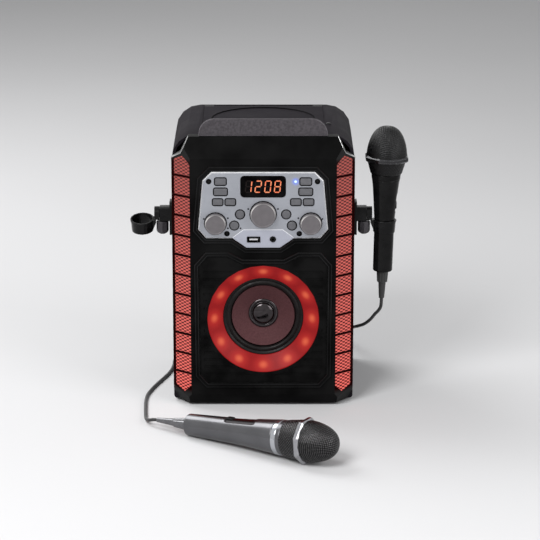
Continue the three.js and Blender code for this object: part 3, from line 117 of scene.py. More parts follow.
def placed(points):
    """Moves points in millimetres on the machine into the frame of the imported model, in metres."""
    return np.asarray(points, float) * MM + TO_FRAME


def spot(x, y, z):
    """One such point, as a plain tuple."""
    return tuple(float(v) for v in placed((x, y, z)))


def axis_frame(origin, *turns):
    """A 4 by 4 matrix that stands a local z axis at origin: each turn is an angle and an axis letter."""
    matrix = Matrix.Translation(Vector(origin))
    for angle, letter in turns:
        matrix = matrix @ Matrix.Rotation(angle, 4, letter)
    return np.array(matrix)


def facing_back(x, z):
    """The frame of a form turned about a line that runs back from the front, which is its z axis."""
    return axis_frame((x, 0.0, z), (-math.pi / 2, "X"))


def moved(points, matrix):
    """Points times a 4 by 4 matrix."""
    points = np.asarray(points, float)
    return points @ matrix[:3, :3].T + matrix[:3, 3]


def softened(profile, radius):
    """Rounds the inner corners of a profile: each becomes the curve (1-t)^2 a + 2t(1-t) corner + t^2 b,
    where a and b lie on the two sides that meet there, a radius away or nearly half way to the next one."""
    corners = np.asarray(profile, float)
    here = corners[1:-1]
    before = corners[:-2] - here
    after = corners[2:] - here
    before_long = np.linalg.norm(before, axis=1, keepdims=True)
    after_long = np.linalg.norm(after, axis=1, keepdims=True)
    a = here + before / before_long * np.minimum(radius, before_long * NEARLY_HALF)
    b = here + after / after_long * np.minimum(radius, after_long * NEARLY_HALF)
    t = np.linspace(0.0, 1.0, 5)[None, :, None]
    arcs = (1 - t) ** 2 * a[:, None] + 2 * t * (1 - t) * here[:, None] + t ** 2 * b[:, None]
    return np.vstack([corners[:1], arcs.reshape(-1, 2), corners[-1:]])


def divided(profile, step):
    """Adds even points along a profile, at most a step apart."""
    profile = np.asarray(profile, float)
    lengths = np.linalg.norm(np.diff(profile, axis=0), axis=1)
    counts = np.maximum(1, np.ceil(lengths / step).astype(int))
    share = np.concatenate([np.arange(n) / n for n in counts])
    index = np.repeat(np.arange(len(counts)), counts)
    points = profile[index] + share[:, None] * (profile[index + 1] - profile[index])
    return np.vstack([points, profile[-1:]])


def grid_faces(rows, columns, wraps_rows, wraps_columns):
    """Quads between the neighbours of a grid of points, and the grid place of each quad's four corners."""
    r = np.arange(rows if wraps_rows else rows - 1)[:, None]
    c = np.arange(columns if wraps_columns else columns - 1)[None, :]
    r, c = np.broadcast_arrays(r, c)
    corner_rows = np.stack([r, r, r + 1, r + 1], -1)
    corner_columns = np.stack([c, c + 1, c + 1, c], -1)
    faces = (corner_rows % rows) * columns + corner_columns % columns
    return faces.reshape(-1, 4), corner_rows.reshape(-1), corner_columns.reshape(-1)


def volume_of(points, faces):
    """Six times the volume that the quads enclose: a sum of triple products of their corners."""
    a, b, c, d = (points[faces[:, k]] for k in range(4))
    return float(np.einsum("ij,ij->", a, np.cross(b, c)) + np.einsum("ij,ij->", a, np.cross(c, d)))


def surface(name, grid, wraps_rows=False, wraps_columns=True, open_front=None, values=None, sharp=35.0):
    """A mesh object from a grid of points in millimetres. Faces are turned outwards: by the enclosed
    volume, or for an open surface so that the normals look towards open_front. values are float
    attributes."""
    grid = np.asarray(grid, float)
    rows, columns = grid.shape[:2]
    points = placed(grid.reshape(-1, 3))
    faces, corner_rows, corner_columns = grid_faces(rows, columns, wraps_rows, wraps_columns)
    if open_front is None:
        middle = points.mean(axis=0)
        outwards = volume_of(points - middle, faces)
    else:
        a, b, c = (points[faces[:, k]] for k in (0, 1, 2))
        outwards = float((np.cross(b - a, c - a) @ np.asarray(open_front, float)).sum())
    mesh = bpy.data.meshes.new(name)
    mesh.from_pydata(points.tolist(), [], faces.tolist())
    along = np.stack([corner_columns / (columns if wraps_columns else columns - 1),
                      corner_rows / (rows if wraps_rows else rows - 1)], -1)
    layer = mesh.uv_layers.new(name="Around and along")
    layer.data.foreach_set("uv", along.astype(np.float32).reshape(-1))
    for title, value in (values or {}).items():
        attribute = mesh.attributes.new(title, "FLOAT", "POINT")
        attribute.data.foreach_set("value", np.asarray(value, np.float32).reshape(-1))
    return made(name, mesh, flip=outwards < 0, sharp=sharp)


def added(name, data):
    """An object with its data, in the scene."""
    thing = bpy.data.objects.new(name, data)
    bpy.context.scene.collection.objects.link(thing)
    return thing


def merged(mesh, change=None):
    """Merges doubles, which closes poles, and then makes a change to the mesh where one is given."""
    shape = bmesh.new()
    shape.from_mesh(mesh)
    bmesh.ops.remove_doubles(shape, verts=shape.verts, dist=SAME_PLACE)
    if change:
        change(shape)
    shape.to_mesh(mesh)
    shape.free()


def made(name, mesh, flip, sharp):
    """An object of a mesh: its faces turned round where asked, and smooth but for its sharp edges."""
    merged(mesh, (lambda shape: bmesh.ops.reverse_faces(shape, faces=shape.faces)) if flip else None)
    mesh.shade_smooth()
    mesh.set_sharp_from_angle(angle=math.radians(sharp))
    return added(name, mesh)


def turned(name, profile, matrix, sides=96, values=None, dent=None, ring=False):
    """A closed turned form: at angle a and profile place s its point is (r cos a, r sin a, h), with the
    radius r and height h of the profile at s, less the dent there if one is given as a function of a and h.
    A ring's profile is closed: its last point joins its first."""
    profile = np.asarray(profile, float)
    angle = np.linspace(0.0, 2 * math.pi, sides, endpoint=False)
    radius = np.repeat(profile[:, :1], sides, axis=1)
    height = np.repeat(profile[:, 1:], sides, axis=1)
    facts = dict(values(angle[None, :], radius, height) if values else {})
    if dent is not None:
        radius = np.maximum(radius - dent(angle[None, :], height), 0.0)
    grid = np.stack([radius * np.cos(angle), radius * np.sin(angle), height], -1)
    return surface(name, moved(grid, matrix), wraps_rows=ring, values=facts)


def refined(node, sharp=35.0, square_to=None):
    """A copy of a CAD node with its loose triangles merged and flat areas joined, smooth but for its sharp
    edges. square_to is an axis: faces on a slant to it get 1 in the attribute "slant", and all others 0."""
    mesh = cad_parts[node].data.copy()
    mesh.materials.clear()
    merged(mesh, lambda shape: bmesh.ops.dissolve_limit(shape, angle_limit=FLAT_WITHIN, verts=shape.verts,
                                                        edges=shape.edges))
    if mesh.has_custom_normals:
        mesh.attributes.remove(mesh.attributes["custom_normal"])
    mesh.shade_smooth()
    mesh.set_sharp_from_angle(angle=math.radians(sharp))
    if square_to is not None:
        normals = np.array([face.normal for face in mesh.polygons])
        leaning = np.abs(normals @ np.asarray(square_to, float))
        slant = mesh.attributes.new("slant", "FLOAT", "FACE")
        slanted = (leaning > SLANTED[0]) & (leaning < SLANTED[1])
        slant.data.foreach_set("value", slanted.astype(np.float32))
    return added(node + "_finished", mesh)


def rounded_oblong(half, radius, steps=6):
    """Points round a rectangle of two half sizes, whose corners are quarter circles. half and radius may be
    lists with one row for each of several such rings."""
    half = np.atleast_2d(np.asarray(half, float))[:, None]
    radius = np.reshape(np.asarray(radius, float), (-1, 1, 1))
    corner = np.array([(1, 1), (-1, 1), (-1, -1), (1, -1)], float)
    turn = np.linspace(0.0, math.pi / 2, steps)[None, :] + np.arange(4)[:, None] * math.pi / 2
    arc = np.stack([np.cos(turn), np.sin(turn)], -1).reshape(-1, 2)
    return np.repeat(corner, steps, axis=0) * (half - radius) + arc * radius


def oblong_cap(name, low, high, edge, crown, radius, steps=6):
    """A key's cap from a low to a high corner in x, y and z, its front at the low y: rings of a rounded
    rectangle run from the back to the front, draw in round a quarter circle at the edge, and then shrink to
    the middle, which stands a crown further forward, by the square of their size."""
    low, high = np.asarray(low, float), np.asarray(high, float)
    centre = (low + high) / 2
    half = (high - low)[[0, 2]] / 2
    turn = np.linspace(0.0, math.pi / 2, 5)
    shrink = np.linspace(1.0, 0.0, 6)[1:]
    halves = np.vstack([half * 0.0, half, half - edge * (1 - np.cos(turn))[:, None],
                        shrink[:, None] * (half - edge)])
    radii = np.concatenate([[0.0, radius], np.maximum(radius - edge * (1 - np.cos(turn)), LEAST_CORNER),
                            max(radius - edge, LEAST_CORNER) * shrink])
    depths = np.concatenate([[high[1], high[1]], low[1] + crown + edge * (1 - np.sin(turn)),
                             low[1] + crown * shrink ** 2])
    rings = rounded_oblong(halves, radii, steps)
    return surface(name, np.stack([centre[0] + rings[..., 0], np.repeat(depths[:, None], rings.shape[1], 1),
                                   centre[2] + rings[..., 1]], -1))


def ring_plate(name, inner, outer, front, back):
    """A flat ring between two outlines of x and z with as many points each."""
    rings = np.array([inner, inner, outer, outer])
    depths = np.broadcast_to(np.array([back, front, front, back])[:, None], rings.shape[:2])
    return surface(name, np.stack([rings[..., 0], depths, rings[..., 1]], -1), wraps_rows=True)


def oblong_frame(name, x, z, half, radius, gap, width, front, back):
    """A flat frame round a rounded rectangle, a gap away from it and as wide as the width."""
    inner = rounded_oblong(np.asarray(half, float) + gap, radius + gap)[0] + (x, z)
    outer = rounded_oblong(np.asarray(half, float) + gap + width, radius + gap + width)[0] + (x, z)
    return ring_plate(name, inner, outer, front, back)


def mirrored_outline(shares, half, top, height):
    """An outline of x and z, counter-clockwise from the front, from its right half, lowest point first."""
    right = np.array([(x * half, top - y * height) for x, y in shares])
    return np.vstack([right, right[::-1] * (-1, 1)])


def grown(outline, distance):
    """An outline whose sides have moved out by a distance: its corners move along their bisectors."""
    way = np.roll(outline, -1, axis=0) - outline
    way /= np.linalg.norm(way, axis=1, keepdims=True)
    after = np.stack([way[:, 1], -way[:, 0]], -1)
    before = np.roll(after, 1, axis=0)
    turn = 1 + (before * after).sum(axis=1, keepdims=True)
    return outline + distance * (before + after) / turn


def edging(name, path, section, shares=None, depths=None):
    """A thin strip along a path: a closed section, given as steps back from the front and up from the
    path's own line in x and z, is carried from point to point, its steps back multiplied there by a depth,
    and each end closes to its middle."""
    path = np.asarray(path, float)
    way = np.gradient(path[:, [0, 2]], axis=0)
    way /= np.linalg.norm(way, axis=1, keepdims=True)
    back, up = np.asarray(section, float).T
    flat = path[:, None, [0, 2]] + np.stack([way[:, 1], -way[:, 0]], -1)[:, None] * up[None, :, None]
    back = back * (np.ones((len(path), 1)) if depths is None else np.asarray(depths)[:, None])
    grid = np.stack([flat[..., 0], path[:, None, 1] + back, flat[..., 1]], -1)
    ends = grid[[0, -1]].mean(axis=1, keepdims=True)
    grid = np.concatenate([np.repeat(ends[:1], len(up), 1), grid, np.repeat(ends[1:], len(up), 1)])
    values = {"depth": np.broadcast_to(shares, grid.shape[:2])} if shares else None
    return surface(name, grid, values=values)


def tube(name, path, radius, sides):
    """A round tube along points in millimetres: at each point a ring stands square to the way between its
    neighbours, its first spoke level, and each end closes to a point."""
    path = np.asarray(path, float)
    way = np.gradient(path, axis=0)
    way /= np.linalg.norm(way, axis=1, keepdims=True)
    side = np.cross(way, (0.0, 0.0, 1.0))
    side[np.linalg.norm(side, axis=1) < NEARLY_UPRIGHT] = np.array([1.0, 0.0, 0.0])
    side /= np.linalg.norm(side, axis=1, keepdims=True)
    over = np.cross(side, way)
    angle = np.linspace(0.0, 2 * math.pi, sides, endpoint=False)
    ring = side[:, None] * np.cos(angle)[None, :, None] + over[:, None] * np.sin(angle)[None, :, None]
    grid = path[:, None] + ring * radius
    ends = [np.repeat(end[None, None], sides, 1) for end in path[[0, -1]]]
    return surface(name, np.concatenate([ends[0], grid, ends[1]]), sharp=50.0)


def plate(name, outline, front, back):
    """A flat plate from an outline in x and z."""
    middle = outline.mean(axis=0)
    flat = middle + (outline - middle) * np.array([0.0, 1.0, 1.0, 0.0])[:, None, None]
    depths = np.broadcast_to(np.array([back, back, front, front])[:, None], flat.shape[:2])
    return surface(name, np.stack([flat[..., 0], depths, flat[..., 1]], -1))


def joined(name, pieces):
    """One object from several, which are then gone."""
    with bpy.context.temp_override(active_object=pieces[0], selected_objects=pieces,
                                   selected_editable_objects=pieces):
        bpy.ops.object.join()
    pieces[0].name = name
    pieces[0].data.name = name
    return pieces[0]


def dressed(piece, look, body="cabinet", nodes=()):
    """Gives a piece its material and body, and hides the CAD nodes that it stands for."""
    piece.data.materials.clear()
    piece.data.materials.append(finish(look))
    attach(piece, body)
    if nodes:
        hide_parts(*nodes)
    return piece


def dress_nodes(*rows):
    """Dresses copies of CAD nodes: a row has the node, its look and slot, which is not used, then its body if
    that isn't the cabinet, and then what refined() takes."""
    for node, look, slot, *rest in rows:
        body, *how = rest or ["cabinet"]
        dressed(refined(node, *how), look, body, [node])


# Finishes

def linear(colour):
    """A colour written as it looks, in sRGB shares, turned into the linear shares that a shader takes."""
    c = np.asarray(tuple(colour)[:3], float)
    return tuple(np.where(c <= 0.04045, c / 12.92, ((c + 0.055) / 1.055) ** 2.4)) + (1.0,)


class Recipe:
    """A material being put together: its shader, and short calls that add nodes and join them."""

    def __init__(self, name, colour, roughness, **sockets):
        self.material = bpy.data.materials.new(name)
        self.material.use_nodes = True
        self.tree = self.material.node_tree
        self.shader = self.tree.nodes["Principled BSDF"]
        self.colour = linear(colour)
        self.shader.inputs["Base Color"].default_value = self.colour
        self.shader.inputs["Roughness"].default_value = roughness
        for socket, value in sockets.items():
            title = socket.replace("_", " ").title().replace("Specular", "Specular IOR")
            self.shader.inputs[title].default_value = value
        self.normal = None
        self.place = self.add("ShaderNodeTexCoord").outputs["Object"]

    def add(self, kind, **settings):
        node = self.tree.nodes.new(kind)
        for title, value in settings.items():
            setattr(node, title, value)
        return node

    def join(self, source, target):
        """Links an output to an input, or sets the input to a plain value."""
        if isinstance(source, (int, float, tuple)):
            target.default_value = source
        else:
            self.tree.links.new(source, target)

    def step(self, kind, values, output=0, **settings):
        """A node with values or outputs on its first inputs, and one of its outputs."""
        node = self.add(kind, **settings)
        for value, target in zip(values, node.inputs):
            self.join(value, target)
        return node.outputs[output]

    def sums(self, operation, *values):
        """One step of arithmetic on outputs or numbers."""
        return self.step("ShaderNodeMath", values, operation=operation)

    def between(self, source, low, high, start=0.0, end=1.0, smooth=False):
        """Maps low to high of a source on start to end, and holds it there outside."""
        kind = "SMOOTHSTEP" if smooth else "LINEAR"
        return self.step("ShaderNodeMapRange", (source, low, high, start, end), interpolation_type=kind)

    def blended(self, share, first, second):
        """A colour between two, by a share."""
        node = self.add("ShaderNodeMix", data_type="RGBA")
        colour_inputs = [socket for socket in node.inputs if socket.type == "RGBA"]
        for value, target in zip((share, first, second), (node.inputs[0], *colour_inputs)):
            self.join(value, target)
        return next(socket for socket in node.outputs if socket.type == "RGBA")

    def attribute(self, title, share=1.0):
        found = self.add("ShaderNodeAttribute", attribute_name=title).outputs["Fac"]
        return self.sums("MULTIPLY", found, share)

    def uv(self, title):
        return self.add("ShaderNodeUVMap", uv_map=title).outputs[0]

    def parts(self, source):
        """The x, y and z of a place or direction."""
        node = self.add("ShaderNodeSeparateXYZ")
        self.join(source, node.inputs[0])
        return node.outputs

    def scaled(self, source, scale):
        mapping = self.add("ShaderNodeMapping")
        mapping.inputs["Scale"].default_value = scale
        self.join(source, mapping.inputs["Vector"])
        return mapping.outputs[0]

    def cloudy(self, vector, detail=2.0, roughness=0.5):
        noise = self.add("ShaderNodeTexNoise")
        values = {"Vector": vector, "Scale": 1.0, "Detail": detail, "Roughness": roughness}
        for title, value in values.items():
            self.join(value, noise.inputs[title])
        return noise.outputs["Fac"]

    def noise(self, size_mm, detail=2.0, stretch=(1, 1, 1), roughness=0.5):
        """Cloudy noise whose spots are about size_mm wide, stretched along the axes."""
        scale = tuple(1 / (size_mm * MM * s) for s in stretch)
        return self.cloudy(self.scaled(self.place, scale), detail, roughness)

    def flat_normal(self):
        return self.add("ShaderNodeNewGeometry").outputs["Normal"]

    def rounded(self, radius_mm):
        """The normal as if edges were rounded by a radius."""
        node = self.add("ShaderNodeBevel", samples=4)
        node.inputs["Radius"].default_value = radius_mm * MM
        return node.outputs[0]

    def painted_edge_highlights(self, colour, radius_mm, share):
        """Paints a highlight along edges: the colour turns towards another where the rounded normal leaves
        the flat one.
        """
        normals = self.rounded(radius_mm), self.flat_normal()
        dot = self.step("ShaderNodeVectorMath", normals, "Value", operation="DOT_PRODUCT")
        self.paint(self.between(dot, *EDGE_HIGHLIGHT_TURN, 0.0, share, smooth=True), linear(colour))

    def bump(self, height, depth_mm, strength):
        """Raises the surface by a height, whose whole range is depth_mm."""
        node = self.add("ShaderNodeBump")
        node.inputs["Strength"].default_value = strength
        node.inputs["Distance"].default_value = depth_mm * MM
        self.join(height, node.inputs["Height"])
        if self.normal is not None:
            self.join(self.normal, node.inputs["Normal"])
        self.normal = node.outputs[0]

    def paint(self, share, colour):
        """Lays a colour over what the piece has so far, by a share."""
        target = self.shader.inputs["Base Color"]
        under = target.links[0].from_socket if target.links else tuple(target.default_value)
        self.join(self.blended(share, under, colour), target)

    def mottled(self, size_mm, amount):
        """Lightens and darkens the colour a little in soft clouds."""
        lighter = tuple(min(1.0, c * (1 + amount) + 0.004) for c in self.colour[:3]) + (1.0,)
        darker = tuple(c * (1 - amount) for c in self.colour[:3]) + (1.0,)
        cloud = self.between(self.noise(size_mm, 3.0), *CLOUD_RANGE)
        self.join(self.blended(cloud, darker, lighter), self.shader.inputs["Base Color"])

    def glowing(self, colour, share):
        """Lights the piece from inside, by a share of the user's glow."""
        self.join(colour, self.shader.inputs["Emission Color"])
        self.shader.inputs["Emission Strength"].default_value = colours().glow * share


# Where the painted highlight along edges starts and is full, as cosines, and the middle part of a noise that
# clouds use
EDGE_HIGHLIGHT_TURN = (0.985, 0.8)
CLOUD_RANGE = (0.35, 0.65)
# Heights in metres between which the strips' red glow is painted on the bars between their windows, each from
# none to full, and between which the strips fade
STRIP_GLOW_FOOT = (0.016, 0.022)
STRIP_GLOW_TOP = (0.304, 0.298)
STRIPS_FADE = (0.02, 0.3)
# How steeply the pod's sides fall, the width over which its painted light comes in, and where the lamp's halo
# ends and is full, in metres
POD_SLOPE = 0.76
POD_EDGE = 0.0006
HALO = (0.0062, 0.0012)
# How often the brushing changes round the handle and along it
BRUSHING = (420.0, 6.0, 1.0)
# The light strips' dashes in millimetres, and the painted shade between the wires of each mesh
DASH_LENGTH = 3.75
DASH_HEIGHT = 2.0
MESH_HOLE_SHADE = {"black weave": (0.008, 0.008, 0.009), "steel weave": (0.006, 0.006, 0.007)}


def facets(made_up):
    """Front shell: painted light on its side facets, and the strips' painted red glow on the bars between
    windows.
    """
    # Painted light: facets turned partly to the side are made paler, as if lit
    across = made_up.sums("ABSOLUTE", made_up.parts(made_up.flat_normal())[0])
    cut = made_up.sums("MULTIPLY", made_up.between(across, 0.3, 0.4), made_up.between(across, 0.95, 0.85))
    made_up.paint(made_up.sums("MULTIPLY", cut, 0.6), linear((0.19, 0.19, 0.19)))
    # Painted red glow of the lit strips on the side facets beside them
    height = made_up.parts(made_up.place)[2]
    strip_glow_share = made_up.sums("MULTIPLY", *(made_up.between(height, *ends) for ends in (STRIP_GLOW_FOOT, STRIP_GLOW_TOP)))
    made_up.paint(made_up.sums("MULTIPLY", cut, strip_glow_share), linear((0.1, 0.0, 0.0)))


def panel_flakes_and_light(made_up):
    """Control panel: metal flakes, painted light on its slopes and on the pod under its ridge, and the pilot
    lamp's halo.
    """
    flakes = made_up.between(made_up.noise(0.35, 1.0), 0.45, 0.75, 0.0, 0.12)
    made_up.paint(flakes, linear((0.95, 0.96, 0.98)))
    # Painted highlight on the slopes of the panel's bevelled border
    made_up.paint(made_up.attribute("slant", 0.9), linear((0.97, 0.97, 0.98)))
    # Painted light: the pod under the ridge is made paler, as if it caught more light
    place = made_up.parts(made_up.place)
    out = made_up.sums("ABSOLUTE", made_up.sums("SUBTRACT", place[0], CENTRE_LINE))
    fall = made_up.sums("MAXIMUM", made_up.sums("SUBTRACT", out, POD_RIDGE[2][0] * MM), 0.0)
    line = made_up.sums("ADD", place[2], made_up.sums("MULTIPLY", fall, POD_SLOPE))
    below = made_up.sums("SUBTRACT", POD_RIDGE[1][2] * MM, line)
    made_up.paint(made_up.between(below, 0.0, POD_EDGE, 0.0, 0.38), linear((0.76, 0.77, 0.84)))
    lamp = spot(LED_AT[0], PANEL_FACE, LED_AT[1])
    far = made_up.step("ShaderNodeVectorMath", (made_up.place, lamp), "Value", operation="DISTANCE")
    made_up.paint(made_up.between(far, *HALO, 0.0, 0.75, smooth=True), linear((0.5, 0.6, 1.0)))


def circuit_tracks(made_up):
    """Circuit board: fine raised tracks, long across the machine."""
    tracks = made_up.between(made_up.noise(1.2, 1.0, (8, 1, 1)), 0.55, 0.6)
    made_up.paint(made_up.sums("MULTIPLY", tracks, 0.35), linear((0.25, 0.5, 0.25)))
    made_up.bump(tracks, 0.03, 0.5)


def lit_bar(made_up):
    """Lit bars of the digits: brighter in clouds."""
    cloud = made_up.between(made_up.noise(2.0, 1.0), 0.3, 0.7)
    made_up.glowing(made_up.blended(cloud, linear((0.98, 0.4, 0.24)), linear((1.0, 0.66, 0.46))), 1.0)


def pilot_light(made_up):
    """Pilot lamp: a cold glow."""
    made_up.glowing(linear((0.7, 0.85, 1.0)), 0.7)


def brushed_handle(made_up):
    """Silver handle: brushed along its axis, smoother on its bright ring."""
    smoother = made_up.between(made_up.attribute("bright ring"), 0.0, 1.0, 0.26, 0.12)
    made_up.join(smoother, made_up.shader.inputs["Roughness"])
    lines = made_up.scaled(made_up.uv("Around and along"), BRUSHING)
    made_up.bump(made_up.cloudy(lines), 0.03, 0.25)


def wires(made_up):
    """Wire mesh: the material's own colour on the wires' backs, and painted shade, nearly black, on their
    sides and in the holes.
    """
    lit = made_up.between(made_up.attribute("weave"), 0.66, 0.99, smooth=True)
    # Painted shade on the wires' sides and in the holes
    hole = linear(MESH_HOLE_SHADE[made_up.material.name])
    made_up.join(made_up.blended(lit, hole, made_up.colour), made_up.shader.inputs["Base Color"])


def lit_ring(made_up):
    """Lit ring: a warm spot in front of each lamp behind it, and darker red between them. The distance to a
    lamp comes from the squares of how far a point is off it round the ring and across the ring."""
    around = made_up.parts(made_up.uv("Around and along"))[0]
    turn = made_up.sums("MULTIPLY", around, float(colours().ring_lamps))
    between = made_up.sums("SUBTRACT", made_up.sums("FRACT", made_up.sums("ADD", turn, 0.5)), 0.5)
    near = made_up.sums("MULTIPLY", made_up.sums("ABSOLUTE", between), 2.0)
    across = made_up.sums("MULTIPLY", made_up.sums("SUBTRACT", made_up.attribute("lens"), 0.45), 1.6)
    squares = made_up.sums("ADD", made_up.sums("POWER", near, 2.0), made_up.sums("POWER", across, 2.0))
    far = made_up.sums("SQRT", squares)
    broad = made_up.between(far, 1.05, 0.2, smooth=True)
    base = made_up.blended(broad, linear((0.56, 0.1, 0.115)), linear((0.76, 0.2, 0.18)))
    warm = made_up.between(far, 0.5, 0.02, smooth=True)
    made_up.glowing(made_up.blended(warm, base, linear((0.98, 0.46, 0.32))), 0.62)


def lit_strip(made_up):
    """Light strips: rows of bright dashes, each over the gaps of the row below, fading upwards."""
    dashes = made_up.add("ShaderNodeTexChecker")
    grid = made_up.scaled(made_up.uv("Along the strip"), (1 / DASH_LENGTH, 1 / DASH_HEIGHT, 1.0))
    bright, dark = linear((0.97, 0.44, 0.4)), linear((0.36, 0.04, 0.04))
    for value, target in zip((grid, bright, dark, 1.0), dashes.inputs):
        made_up.join(value, target)
    fade = made_up.between(made_up.parts(made_up.place)[2], *STRIPS_FADE, 0.0, 0.62)
    glow = made_up.blended(fade, dashes.outputs["Color"], linear((0.26, 0.19, 0.18)))
    made_up.glowing(glow, 0.52)
    made_up.join(made_up.blended(0.5, glow, linear((0.1, 0.01, 0.01))), made_up.shader.inputs["Base Color"])


def row(name, *first, **rest):
    """One row of the looks below: a name, and what built() takes after it."""
    return name, (first, rest)


